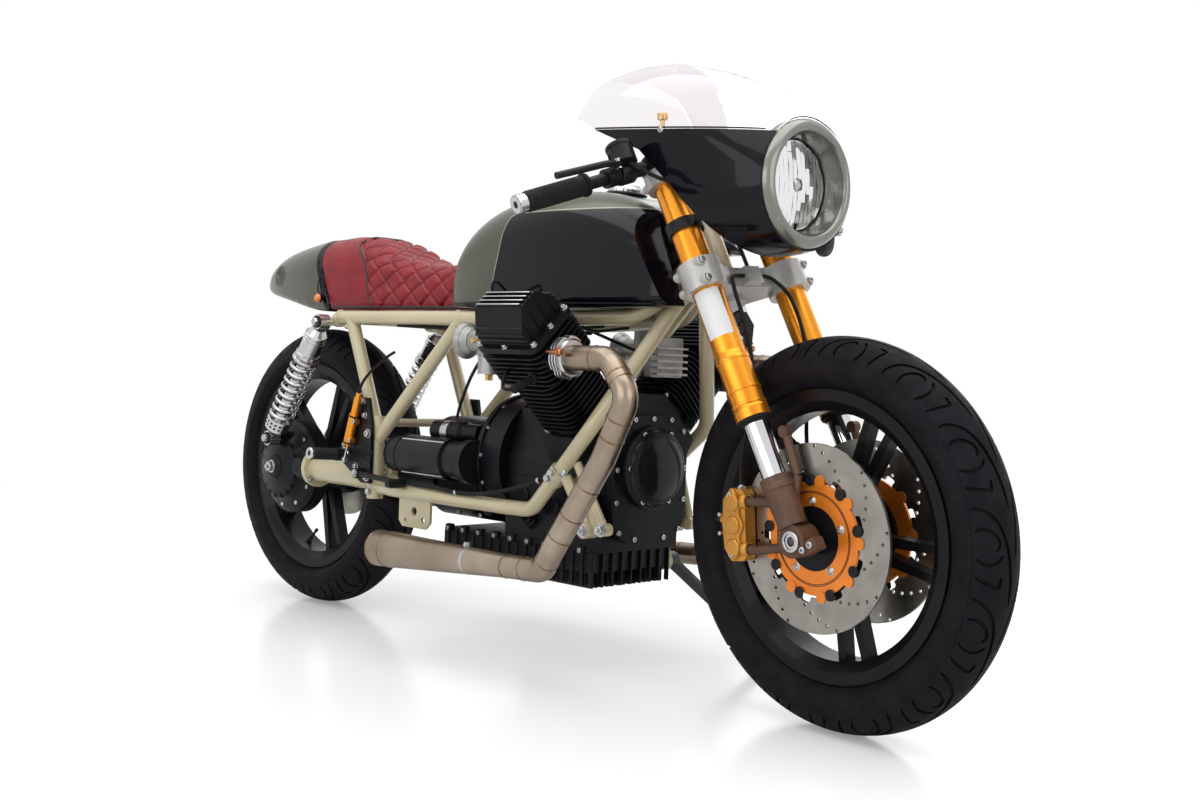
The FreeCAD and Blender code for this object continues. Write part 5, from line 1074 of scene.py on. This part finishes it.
def carburettor_trim():
    """Castings, screws, jets, caps, clips, cables and fuel lines."""
    bare, steel, brass, dark = meshes(4)
    for side, local in BANKS.items():
        flange = local @ Vector((-PORT_X, side * -14, PORT_HIGH))
        centre = flange + Vector((-50, 0, 0))
        up = Matrix.Translation(centre)
        lathe(bare, [(24.4, 44), (26.4, 45), (26.4, 52), (24.4, 53)], up, 40)
        lathe(dark, [(24.2, 57.6), (26.6, 58.2), (26.6, 70), (24, 73), (9, 74.6), (7, 82), (0, 82)], up, 40,
              knurled(0.5, 24, 58.6, 69.5))
        lathe(bare, [(22.2, -18), (25, -19), (25, -26), (22.2, -27)], up, 40)
        lathe(brass, [(0, -74), (7.6, -74, 6), (7.6, -64, 6), (9, -62)], up, 24)
        for x, y in ((-15, -15), (15, -15), (-15, 15), (15, 15)):
            bolt(steel, Matrix.Translation(centre + Vector((x, y * 0.9, 72.6))), 2.6, 2.2, "dome")
            lathe(steel, [(3, -30), (3, -19)], Matrix.Translation(centre + Vector((x * 1.05, y * 1.05, 0))),
                  12)
        out = Matrix.Translation(centre + Vector((0, side * 20, 0))) @ OUTWARD[side]
        lathe(bare, [(16, -4), (16, 4), (14.5, 5.5), (7, 5.5)], out, 36)
        lathe(brass, [(5, 4), (5, 12, 6), (4, 13), (2.4, 13), (2.4, 18), (0, 18)], out, 24)
        low = out @ shifted(-17, 0, 0)
        lathe(brass, [(3.4, -4), (3.4, 6), (4.8, 6), (4.8, 11), (0, 11.6)], low, 18)
        mouth = Matrix.Translation(flange + Vector((-117, 0, 0))) @ BACKWARD
        lathe(bare, [(30, -8), (33.4, -2), (35.4, 0.6), (35.4, 2.2), (33.6, 2.6), (30, -0.6), (26, -6)],
              mouth, 56)
        for x in (-8, -24):
            clip = Matrix.Translation(flange + Vector((x, 0, 0))) @ FORWARD
            lathe(steel, [(21.4, -3.6), (22.8, -3.4), (22.8, 3.4), (21.4, 3.6)], clip, 40)
        arm = centre + Vector((12, side * 26, 4))
        pipe(steel, [arm, arm + Vector((6, 0, 22)), arm + Vector((2, 0, 44))], 2.4, 8)
        pipe(dark, [centre + Vector((0, 0, 80)), centre + Vector((6, -side * 6, 112)),
                    Vector((60, side * 70, 662)), Vector((200, side * 34, 664))], 3.0, 10)
        pipe(dark, [centre + Vector((-14, side * 6, -30)), centre + Vector((-60, -side * 6, -70)),
                    Vector((-130, side * 104, 500)), Vector((-140, side * 104, 470))], 3.2, 10)
    piece("carburettor_castings", bare, "cast")
    piece("carburettor_screws", steel, "steel")
    piece("carburettor_jets", brass, "brass")
    piece("carburettor_caps", dark, "rubber")


# ------------------------------------------------------------ exhausts
def exhaust_trim():
    """Weld beads along the pipes, rolled ends and the silencers' clamps."""
    ring, clamp, steel = meshes(3)
    for side in SIDES:
        port = BANKS[side] @ Vector((PORT_X, side * 22, PORT_HIGH))
        spread = abs(port.y)
        corners = [Vector((port.x, side * spread, port.z)), Vector((408, side * spread, port.z)),
                   Vector((462, side * (spread + 6), 540)), Vector((402, side * (spread - 2), 430)),
                   Vector((296, side * 236, 262)), Vector((252, side * 218, 218)),
                   Vector((150, side * 212, 213)), Vector((-250, side * 205, 198))]
        for k, shares in ((0, (0.72,)), (1, (0.44, 0.62)), (2, (0.36, 0.66)), (3, (0.3, 0.62, 0.86)),
                          (4, (0.5,)), (5, (0.46, 0.96))):
            here, there = corners[k], corners[k + 1]
            for share in shares:
                lathe(ring, [(21.7, -1.9), (22.6, -1.4), (22.95, 0), (22.6, 1.4), (21.7, 1.9)],
                      aim(here.lerp(there, share), there - here), 48, knurled(0.16, 31))
        end, along = corners[-1], (corners[-1] - corners[-2]).normalized()
        lathe(ring, [(36.3, -41.6), (37.1, -41), (37.2, -40), (37.1, -39), (36.3, -38.4)], aim(end, along),
              64, knurled(0.16, 47))
        lathe(ring, [(34.2, -1), (36.7, -0.8), (37.3, 0.1), (37.3, 2.2), (36.4, 3.0), (34.4, 3.0),
                     (34.0, 1.6)], aim(end - along * 2.2, along), 72)
        at = corners[6].lerp(corners[7], 0.28)
        lathe(clamp, [(24.6, -9), (26.4, -8.6), (26.4, 8.6), (24.6, 9)], aim(at, along), 48)
        box(clamp, (-6, 22, -7), (6, 35, 7), aim(at, along), 1.6)
        bolt(steel, aim(at, along) @ shifted(6, 30, 0) @ FORWARD, 4.2, 4, "hex")
    piece("exhaust_welds", ring, "weld")
    piece("exhaust_clamps", clamp, "steel")
    piece("exhaust_clamp_bolts", steel, "steel")


# ------------------------------------------------------------ frame, rearsets and rear end
def frame_trim():
    """Weld beads, clamps and bolts of the frame, and the shocks' bushes."""
    weld, steel, dark = meshes(3)
    for z in (500.5, 654.5):
        lathe(weld, [(30, z - 4.5), (32.4, z - 3.4), (32.4, z + 3.4), (30, z + 4.5)],
              FORK_LOCAL @ shifted(-STEM_OFFSET, 0, 0), 56)
    for side in SIDES:
        spots = (((-522, RAIL_HIGH), (1, 0, 0)), ((-118, RAIL_HIGH), (0, -side, 0)),
                 ((-481, 655), (0.43, 0, -0.9)), ((-112, 657), (-0.72, 0, -0.7)),
                 ((-372, 452), (-0.4, 0, 0.9)))
        for (x, z), way in spots:
            lathe(weld, [(14.3, -1.6), (16.4, -1.0), (16.9, 0.2), (16.2, 1.4), (14.3, 2.0)],
                  aim((x, side * RAIL, z), way), 40, knurled(0.25, 26))
        rise = Vector((96.5, side * 15, 91)).normalized()
        joint = Vector((205.5, side * 146, 384))
        lathe(weld, [(14.4, -17), (18.6, -16), (19.2, -14.6), (19.2, -1), (18.4, 0)], aim(joint, rise), 44)
        lathe(weld, [(18.4, 0.2), (19.2, 1), (19.2, 14.6), (18.6, 16), (14.4, 17)], aim(joint, rise), 44)
        for shift in (-8.4, 8.4):
            out = aim(joint + rise * shift + Vector((0, side * 18.4, 0)), (0, side, 0))
            lathe(steel, [(8.6, -1), (8.6, 1), (6.9, 1.2, 6), (6.9, 6.4, 6), (5.6, 7.2), (0, 7.2)], out, 24)
        for z in (300, 322):
            bolt(steel, beside(side, -374, 147.2, z), 6.4, 5.6, "hex")
        for x, y, z in ((266, 134, 287), (306, 128, 292)):
            lathe(steel, [(12.5, 0), (12.5, 1.6), (9.6, 1.6, 6), (9.6, 8.4, 6), (7.8, 9.4), (4.4, 9.4),
                          (4.4, 13), (0, 13.4)], beside(side, x, y, z), 30)
        bolt(steel, aim((231, side * 153, 392), (0, side, 0.1)), 7, 6, "hex")
        for x, z in (SHOCK_TOP, SHOCK_FOOT):
            lathe(steel, [(11.5, 0), (11.5, 1.8), (9, 1.8, 6), (9, 8, 6), (7.6, 9), (0, 9)],
                  beside(side, x, SHOCK_SIDE + 14, z), 30)
            lathe(dark, [(12.6, -1), (13.6, -0.4), (13.6, 2.6), (12.6, 3.2), (9, 3.2)],
                  beside(side, x, SHOCK_SIDE + 13, z), 30)
    for x, z in ((330, 700), (352, 706), (378, 720)):
        bolt(steel, aim((x, -4.2, z), (0, -1, 0)), 4.4, 3.6)
    piece("frame_welds", weld, "cream")
    piece("frame_bolts", steel, "steel")
    piece("shock_bushes", dark, "rubber")


def rearset_trim():
    """Knurled pegs and toe piece, bolts, and the rear master cylinder's ends."""
    knurl, steel, dark, tips = meshes(4)
    for side in SIDES:
        start = Vector((-452, side * PLATE_SIDE, 373))
        slope = math.radians(3)
        peg = aim(start, (0, side * math.cos(slope), math.sin(slope)))
        rows = [(11, 22)] + [(11.9 + (0.9 if k % 2 else 0), 24 + k * 2.2) for k in range(29)] + [(11, 88)]
        lathe(knurl, rows, peg, 60, knurled(0.55, 20, 24, 87))
        lathe(tips, [(11, 87), (12.6, 87.6), (12.6, 91), (11.4, 92.4), (6, 92.4), (5.6, 90, 6), (0, 89.6)],
              peg, 40)
        lathe(tips, [(14, -2), (16.4, -1.4), (16.4, 3), (14.4, 4)], peg, 40)
        for x, z, r in ((-372, 424, 6.6), (-372, 332, 6.6), (-392, 492, 5), (-452, 396, 5), (-410, 352, 5),
                        (-384, 462, 5)):
            at = beside(side, x, PLATE_SIDE, z)
            lathe(steel, [(r * 1.5, -0.4), (r * 1.5, 0.8), (r * 1.2, 1.2)], at, 28)
            bolt(steel, at @ shifted(0, 0, 1.1), r, 5)
        for x, z in ((-404, 356), (-364, 382)):
            lathe(dark, [(10.5, -0.6), (10.5, 0.5), (8.6, 0.9), (7.8, -0.2)],
                  beside(side, x, PLATE_SIDE, z), 30)
        pivot = beside(side, -392, 172.2, 338)
        lathe(steel, [(9, -1), (9, 1), (7, 1.2, 6), (7, 5, 6), (5.6, 6), (0, 6)], pivot, 24)
        toe = beside(side, -236, 159.4, 330)
        rows = [(8, 1)] + [(8.8 + (0.7 if k % 2 else 0), 3 + k * 2.0) for k in range(17)] + [(8, 38)]
        lathe(knurl, rows, toe, 40, knurled(0.4, 16, 3, 37))
    low, high = Vector((-428, -166.9, 398)), Vector((-396, -166.9, 500))
    along = (high - low).normalized()
    at = aim(low, along)
    for z in (4, 64):
        lathe(knurl, [(10.4, z - 2), (11.6, z - 1.4), (11.6, z + 1.4), (10.4, z + 2)], at, 40)
    for reach in (14, 56):
        bolt(steel, aim(low + along * reach + Vector((13, -6, -4)), (0, -1, 0)), 4.4, 4.4)
    lathe(tips, [(3.4, -30), (3.4, -9)], at, 16)
    lathe(tips, [(0, -38), (5.4, -38, 6), (5.4, -30, 6), (0, -29)], at, 24)
    piece("peg_knurling", knurl, "black")
    piece("rearset_bolts", steel, "steel")
    piece("rearset_tips", tips, "alloy")
    piece("rearset_trim", dark, "black")


def rear_trim():
    """Ribs, bolts and nut of the final drive, and the shocks' rings and holes."""
    dark, steel, cream, can, rubber = meshes(5)
    out = aim(REAR_AXLE, (0, -1, 0))
    for spot, angle in around(10, 92, 9):
        place = out @ Matrix.Translation(spot + Vector((0, 0, 111.6)))
        if abs(angle - 70) > 14:
            bolt(steel, place, 5, 5, "hex")
    for k in range(18):
        way = spun(k * 20 + 4, "Z")
        box(dark, (36, -1.9, 136), (73, 1.9, 146.5), out @ way @ shifted(0, 0, -4), 1.0)
    lathe(dark, [(28, 148), (30, 151.5), (26, 155), (20, 156), (0, 156)], out, 48)
    lathe(steel, [(15, 152), (15, 158), (12.4, 158, 6), (12.4, 167, 6), (10, 168), (5, 168), (5, 173),
                  (0, 173)], out, 30)
    for ring in (72, 90, 104):
        lathe(dark, [(107.6, ring - 1.4), (109.4, ring - 0.8), (109.4, ring + 0.8), (107.6, ring + 1.4)],
              out, 96)
    face = shifted(-630.2, -106, 330) @ FORWARD
    lathe(cream, [(31, 0.2), (43, 0.6), (44, 2), (44, 11), (43, 12.4), (31, 13)], face, 56)
    for spot, _ in around(4, 37, 45):
        bolt(steel, face @ Matrix.Translation(spot + Vector((0, 0, 12.4))), 5.4, 6, "hex")
    left = beside(1, REAR_AXLE[0], 121, REAR_AXLE[2])
    lathe(steel, [(17, 0), (17, 3), (13.4, 3, 6), (13.4, 14, 6), (11, 15.4), (6, 15.4), (6, 22), (0, 22)],
          left, 30)
    for side in SIDES:
        pivot = beside(side, -374, 112, 345)
        lathe(steel, [(0, 0), (11, 0), (11, 4, 6), (9, 5), (0, 5)], pivot, 24)
        top, foot = (Vector((x, side * SHOCK_SIDE, z)) for x, z in (SHOCK_TOP, SHOCK_FOOT))
        along = foot - top
        length = along.length
        shock = aim(top, along)
        for z in (34, 42, 50):
            lathe(can, [(24, z - 1.6), (25.2, z - 1), (25.2, z + 1), (24, z + 1.6)], shock, 56)
        lathe(can, [(24, 84), (27.5, 85), (27.5, 92), (24, 93)], shock, 56,
              lambda a, h: -1.5 if math.cos(12 * a) < -0.4 else 0)
        for k in range(16):
            way = shock @ spun(22.5 * k, "Z")
            for z in (length - 50, length - 40):
                r = 29 - 3 * (z - (length - 60)) / 30
                lathe(rubber, [(3.0, -0.7), (3.0, 0.25), (2.2, 0.45), (0, 0.45)],
                      way @ shifted(r, 0, z) @ spun(84, "Y"), 12)
        lathe(rubber, [(6.4, 108), (11, 109), (12.8, 114), (12.8, 122), (10, 130), (6.4, 131)], shock, 32)
    piece("drive_ribs", dark, "engine")
    piece("rear_bolts", steel, "steel")
    piece("drive_flange", cream, "cream")
    piece("shock_rings", can, "alloy")
    piece("shock_holes", rubber, "rubber")


def lights():
    """Small indicators on the tail with their wires."""
    amber, dark, wire = meshes(3)
    for side in SIDES:
        at = onto("tail_cowl", CHASSIS, (-622, side * 200, 716), (0, -side, 0))
        lathe(dark, [(5, -4), (5, 5), (8.4, 6), (9.6, 9), (9.8, 12)], at, 32)
        lathe(amber, [(9.6, 11.4), (9.9, 12.6), (9.2, 16.4), (6.4, 19.6), (3, 21), (0, 21.4)], at, 32)
        for k in range(3):
            lathe(amber, [(9.7 - k * 0.9, 13.2 + k * 2.2), (10.1 - k * 0.9, 13.9 + k * 2.2),
                          (9.6 - k * 0.9, 14.6 + k * 2.2)], at, 32)
        point = at.translation
        pipe(wire, [point + Vector((-2, side, 4)), point + Vector((-16, side * 4, 20)),
                    point + Vector((-12, side * 2, 46)), point + Vector((2, side, 44)),
                    point + Vector((4, side * 1.5, 24))], 1.5, 8)
    piece("indicator_bodies", dark, "black")
    piece("indicator_lenses", amber, "amber")
    piece("indicator_wires", wire, "rubber")


def loose_ends():
    """The breather hose, cables under the tank and their clips."""
    wire, steel = meshes(2)
    breather = [(198, -150, 382), (166, -154, 371), (109, -158, 352), (24, -160, 333), (-66, -160, 327),
                (-162, -158, 334), (-230, -152, 334)]
    pipe(wire, breather, 4.2, 12)
    for side in SIDES:
        pipe(wire, [(-330, side * 118, 658), (-200, side * 116, 654), (-90, side * 112, 652),
                    (40, side * 92, 655)], 4.4, 10)
    pipe(wire, [(-396, -166.9, 508), (-388, -160, 536), (-404, -120, 566), (-440, -60, 590),
                (-470, -20, 600)], 3.2, 10)
    piece("loose_hoses", wire, "rubber")
    for spot in ((166, -155, 371), (-66, -160, 327)):
        lathe(steel, [(5.2, -3), (6, -2.6), (6, 2.6), (5.2, 3)], aim(spot, (1, 0, 0.2)), 24)
    piece("hose_clips", steel, "steel")


def tank_trim():
    """The filler's ring and seal and the seams at the tank's lower edge."""
    steel, seam, rubber = meshes(3)
    cap = shifted(212, 0, 916) @ spun(5, "Y")
    lathe(steel, [(33.2, 3), (35.6, 3.4), (36.2, 5), (36.2, 10.4), (34.4, 12.4), (31, 13.2)], cap, 96,
          lambda a, h: -0.9 if math.cos(24 * a) < -0.2 and 3.2 < h < 12 else 0)
    lathe(steel, [(30.4, 15.4), (29.4, 17.6), (24, 18.8), (22.6, 18.2), (21, 18.2), (19.6, 18.8), (8, 19.2),
                  (7, 18.4), (0, 18.4)], cap, 72)
    prism(steel, [(-2.4, -6), (2.4, -6), (2.4, 6), (-2.4, 6)], 18, 19.6, cap, 0.4)
    lathe(rubber, [(33.4, -1), (40, -0.4), (41, 1.6), (38, 3.2), (33.4, 3.4)], cap, 72)
    piece("filler_ring", steel, "alloy")
    piece("filler_seal", rubber, "rubber")
    for side in SIDES:
        line = []
        for x in range(-136, 420, 20):
            edge = onto("fuel_tank", CHASSIS, (x, side * 260, 704), (0, -side, 0)).translation
            line.append(edge + Vector((0, 0, -3)))
        pipe(seam, line, 2.2, 8)
    piece("tank_seams", seam, "gloss")


# ------------------------------------------------------------ seat and tail
def remeshed(name, node, voxel, shrink=0.0):
    """A copy of a CAD node with an even mesh, a little smaller if asked."""
    item = bpy.data.objects.new(name, NODES[node].data.copy())
    SCENE.collection.objects.link(item)
    bm = bmesh.new()
    bm.from_mesh(item.data)
    bmesh.ops.remove_doubles(bm, verts=bm.verts, dist=1e-5)
    bm.to_mesh(item.data)
    bm.free()
    change = item.modifiers.new("even", "REMESH")
    change.mode, change.voxel_size, change.use_smooth_shade = "VOXEL", voxel, True
    settle(item)
    if shrink:
        change = item.modifiers.new("shrink", "DISPLACE")
        change.mid_level, change.strength = 0.0, -shrink
        settle(item)
    return item


def settle(item):
    """Applies the item's modifiers."""
    ready = item.evaluated_get(bpy.context.evaluated_depsgraph_get())
    mesh = bpy.data.meshes.new_from_object(ready)
    item.modifiers.clear()
    item.data = mesh


def points_of(mesh):
    """The mesh's points as rows."""
    flat = np.empty(len(mesh.vertices) * 3, np.float64)
    mesh.vertices.foreach_get("co", flat)
    return flat.reshape(-1, 3)


def normals_of(mesh):
    """The normals at the mesh's points as rows."""
    flat = np.empty(len(mesh.vertices) * 3, np.float64)
    mesh.vertex_normals.foreach_get("vector", flat)
    return flat.reshape(-1, 3)


def upright(points):
    """Row-frame metres to the upright motorcycle's millimetres."""
    turn = np.array(UPRIGHT)
    return points @ turn[:3, :3].T + turn[:3, 3]


def relax(mesh, rounds):
    """Moves each point halfway to the middle of its neighbours, a number of times."""
    edges = np.empty(len(mesh.edges) * 2, np.int64)
    mesh.edges.foreach_get("vertices", edges)
    edges = edges.reshape(-1, 2)
    at = points_of(mesh)
    count = np.bincount(edges.ravel(), minlength=len(at))[:, None]
    for _ in range(rounds):
        total = np.zeros_like(at)
        np.add.at(total, edges[:, 0], at[edges[:, 1]])
        np.add.at(total, edges[:, 1], at[edges[:, 0]])
        at = at * 0.5 + 0.5 * total / np.maximum(count, 1)
    mesh.vertices.foreach_set("co", at.ravel())


def seam_place(z):
    """How far back the seat's rear seam lies at a height."""
    return -445 - 0.36 * (z - 697) - 40 * np.clip((z - 805) / 47, 0, 1) ** 1.2


def swell(item):
    """Swells the item as cloth, held at its base, its front end and its rear face, by at most 6 mm."""
    start = points_of(item.data)
    x, _, z = upright(start).T
    rear_face = (x + 594) / -114 * 262 + 688 - z  # how far a point lies under the slanted rear face
    held = (z < 697) | (np.abs(rear_face) < 14) | (x > -156)
    group = item.vertex_groups.new(name="held")
    group.add([int(i) for i in np.nonzero(held)[0]], 1.0, "REPLACE")
    cloth = item.modifiers.new("padding", "CLOTH")
    rules = cloth.settings
    rules.quality, rules.mass, rules.tension_stiffness, rules.compression_stiffness = 5, 0.3, 18, 18
    rules.bending_stiffness = 0.6
    rules.use_pressure, rules.uniform_pressure_force = True, 4.0
    rules.effector_weights.gravity = 0.0
    rules.vertex_group_mass, rules.pin_stiffness = "held", 1.0
    for step in range(1, 21):
        SCENE.frame_set(step)
    settle(item)
    SCENE.frame_set(1)
    moved = points_of(item.data) - start
    length = np.linalg.norm(moved, axis=1)[:, None]
    moved *= np.minimum(1.0, 0.006 / np.maximum(length, 1e-9))
    item.data.vertices.foreach_set("co", (start + moved).ravel())


def quilt(mesh):
    """Presses the quilting's diamonds, the rear seam and the hem into the seat, and marks them with painted
    shade.
    """
    at = points_of(mesh)
    x, y, z = upright(at).T
    over = np.abs(y) * 0.86 + np.clip(800 - z, 0, 200) * 0.92
    along = x - np.clip(z - 800, 0, 100) * 0.9
    gap = np.minimum(*(np.abs((along / 62 + way * over / 52 + 0.5) % 1 - 0.5) * 40 for way in (1, -1)))
    seam = x - seam_place(z)
    upward = z > 694
    quilted = (seam > 3) & upward
    hem = np.exp(-((z - 700) / 3.0) ** 2)
    depth = np.where(quilted, -4.4 * np.exp(-(gap / 2.6) ** 2) + 2.2 * (1 - np.exp(-(gap / 9) ** 2)), 0.0)
    depth += np.where(upward, -2.6 * np.exp(-(seam / 4.5) ** 2), 0)
    depth += np.where(upward & (seam < -10), 0.8, 0)
    depth -= 1.6 * hem
    mesh.vertices.foreach_set("co", (at + normals_of(mesh) * depth[:, None] * 0.001).ravel())
    # painted shade: darker in the quilting's grooves, along the rear seam and at the hem, stored in the seam
    # attribute
    dark = np.where(quilted, np.exp(-(gap / 1.9) ** 2), 0) + np.where(upward, np.exp(-(seam / 4) ** 2), 0)
    shade = mesh.attributes.new("seam", "FLOAT", "POINT")
    shade.data.foreach_set("value", np.clip(dark + 0.5 * hem, 0, 1).astype(np.float32))


def seat():
    """The quilted seat with its piping."""
    item = remeshed("quilted_seat", "seat_pad", 0.0048, 0.0028)
    swell(item)
    relax(item.data, 3)
    refine(item)
    quilt(item.data)
    dress(item, "leather")
    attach(item, "chassis")
    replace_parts(item, "seat_pad")
    tree = surface(item)
    bm = bmesh.new()
    half = [(128, 694), (128, 725), (128, 755), (126, 785), (118, 815), (95, 850), (60, 880), (25, 895)]
    line = []
    for y, z in [(-y, z) for y, z in half] + half[::-1]:
        start = Vector((float(seam_place(min(z, 845))), y, z))
        spot = shoot(tree, start, Vector((start.x, 0, min(z, 770))) - start)
        if spot is not None:
            line.append(spot)
    pipe(bm, line, 2.7, 8)
    for side in SIDES:
        edge = []
        for x in range(-585, -150, 24):
            spot = shoot(tree, Vector((x, side * 150, 696)), Vector((0, -side, 0)))
            if spot is not None:
                edge.append(spot)
        pipe(bm, edge, 2.6, 8)
    piece("seat_piping", bm, "piping")


def refine(item):
    """Splits each face in four, smoothly."""
    finer = item.modifiers.new("finer", "SUBSURF")
    finer.levels = finer.render_levels = 1
    settle(item)


def dress(item, look):
    """Gives the item one smooth look."""
    item.data.shade_smooth()
    item.data.materials.clear()
    item.data.materials.append(MATS[look])


def surface(item):
    """The item's faces for rays to meet."""
    mesh = item.data
    mesh.calc_loop_triangles()
    return BVHTree.FromPolygons([v.co for v in mesh.vertices], [t.vertices for t in mesh.loop_triangles])


def shoot(tree, start, way):
    """Where a line in the upright frame meets a surface, in the upright frame."""
    hit = tree.ray_cast(CHASSIS @ start, (CHASSIS.to_3x3() @ way).normalized())[0]
    return None if hit is None else UPRIGHT @ hit


def tail():
    """The tail cowl with a shallow dimple in each flank."""
    item = remeshed("tail_cowl_shell", "tail_cowl", 0.0045)
    relax(item.data, 6)
    refine(item)
    at = points_of(item.data)
    x, y, z = upright(at).T
    away = np.hypot((x + 838) / 32, (z - 772) / 26)
    dip = np.where(np.abs(y) > 40, 15.0, 0.0) * np.clip(1 - away ** 2, 0, 1) ** 0.8
    item.data.vertices.foreach_set("co", (at - normals_of(item.data) * dip[:, None] * 0.001).ravel())
    dress(item, "tail")
    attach(item, "chassis")
    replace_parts(item, "tail_cowl")


# ------------------------------------------------------------ floor, lights and camera
def seen_ray(mat):
    """1 for rays of the camera, of mirrors and of glass, which see the background white."""
    path = add(mat, "ShaderNodeLightPath")
    either = add(mat, "ShaderNodeMath", {0: path.outputs["Is Camera Ray"],
                                         1: path.outputs["Is Glossy Ray"]}, operation="MAXIMUM")
    return add(mat, "ShaderNodeMath", {0: either.outputs[0], 1: path.outputs["Is Transmission Ray"]},
               operation="MAXIMUM").outputs[0]


def floor_paint():
    """A pale floor that catches the shadow and turns white away from the object."""
    mat = material("studio_floor", (0.86, 0.86, 0.86), rough=0.3, Specular_IOR_Level=0.4)
    coords = add(mat, "ShaderNodeTexCoord")
    reach = add(mat, "ShaderNodeVectorMath", {0: coords.outputs["Object"]}, operation="LENGTH")
    far = step_at(mat, reach.outputs["Value"], 1.3, 3.4)
    share = add(mat, "ShaderNodeMath", {0: far, 1: seen_ray(mat)}, operation="MULTIPLY")
    white = add(mat, "ShaderNodeEmission", Color=(1, 1, 1, 1), Strength=1.0)
    mix = add(mat, "ShaderNodeMixShader", {0: share.outputs[0], 1: shader_of(mat).outputs[0],
                                           2: white.outputs[0]})
    lift = add(mat, "ShaderNodeMath", {0: add(mat, "ShaderNodeLightPath").outputs["Is Camera Ray"]},
               operation="MULTIPLY")
    lift.inputs[1].default_value = 0.22
    shader_of(mat).inputs["Emission Color"].default_value = (1, 1, 1, 1)
    link(mat, lift.outputs[0], "Emission Strength")
    link(mat, ramp(mat, noise(mat, 1.3, 2), 0.16, 0.24), "Roughness")
    mat.node_tree.links.new(mix.outputs[0], mat.node_tree.nodes["Material Output"].inputs["Surface"])
    return mat


def studio():
    """The floor and the world."""
    mesh = bpy.data.meshes.new("studio_floor")
    mesh.from_pydata([(-30, -30, 0), (30, -30, 0), (30, 30, 0), (-30, 30, 0)], [], [(0, 1, 2, 3)])
    floor = bpy.data.objects.new("studio_floor", mesh)
    SCENE.collection.objects.link(floor)
    mesh.materials.append(floor_paint())
    world = bpy.data.worlds.new("studio")
    SCENE.world = world
    world.use_nodes = True
    world.node_tree.nodes.clear()
    height = add(world, "ShaderNodeSeparateXYZ", {0: add(world, "ShaderNodeTexCoord").outputs["Generated"]})
    sky = ramp(world, height.outputs["Z"], (0.10, 0.095, 0.115), (1, 1, 1), 0.12, 0.6)
    light = add(world, "ShaderNodeBackground", {0: sky}, Strength=0.55)
    white = add(world, "ShaderNodeBackground", Color=(1, 1, 1, 1), Strength=1.0)
    mix = add(world, "ShaderNodeMixShader", {0: seen_ray(world), 1: light.outputs[0], 2: white.outputs[0]})
    add(world, "ShaderNodeOutputWorld", {0: mix.outputs[0]})


def lamp(name, at, aim_at, size, power):
    """A soft area light that looks at a point."""
    data = bpy.data.lights.new(name, "AREA")
    data.shape = "RECTANGLE"
    data.size, data.size_y, data.energy = size[0], size[1], power
    item = bpy.data.objects.new(name, data)
    item.location = at
    item.rotation_euler = (Vector(aim_at) - Vector(at)).to_track_quat("-Z", "Y").to_euler()
    SCENE.collection.objects.link(item)


def camera():
    """The camera, from its turn, tilt, roll, place and focal length."""
    turn, down, roll = math.radians(134.67), math.radians(4.604), math.radians(-0.770)
    look = Vector((math.cos(turn) * math.cos(down), math.sin(turn) * math.cos(down), -math.sin(down)))
    right = look.cross(Vector((0, 0, 1))).normalized()
    up = right.cross(look)
    right, up = (right * math.cos(roll) + up * math.sin(roll)), (up * math.cos(roll) - right * math.sin(roll))
    data = bpy.data.cameras.new("camera")
    data.lens, data.sensor_width = 41.4966, 36
    item = bpy.data.objects.new("camera", data)
    pose = Matrix((right, up, -look)).transposed().to_4x4()
    pose.translation = Vector((2.04375, -1.95242, 0.7367))
    item.matrix_world = pose
    SCENE.collection.objects.link(item)
    SCENE.camera = item


# ------------------------------------------------------------ build
tyre("front_tyre_tread", "front_tyre", 327.4, 109.8, 34, FORK, "front_wheel", 14)
tyre("rear_tyre_tread", "rear_tyre", 324.9, 129.8, 42, REAR, "rear_wheel", 13, 20, 30)
wheel_trim()
fork_label()
calipers()
fork_trim()
controls()
mirror_and_gauge()
lamp_trim()
nose_screws()
heads()
front_covers()
gearbox_trim()
carburettor_trim()
exhaust_trim()
frame_trim()
rearset_trim()
rear_trim()
lights()
loose_ends()
tank_trim()
seat()
tail()
studio()
lamp("top_softbox", (0.3, -0.3, 3.2), (0, 0, 0.4), (4.5, 3.2), 88)
lamp("right_softbox", (0.4, -3.6, 1.7), (0, 0, 0.5), (3.5, 1.6), 34)
lamp("front_softbox", (3.6, -0.6, 1.6), (0.4, 0, 0.5), (2.0, 2.0), 20)
lamp("left_softbox", (-0.6, 3.6, 1.8), (0, 0, 0.5), (3.5, 1.6), 24)
camera()
SCENE.view_settings.view_transform = "Standard"
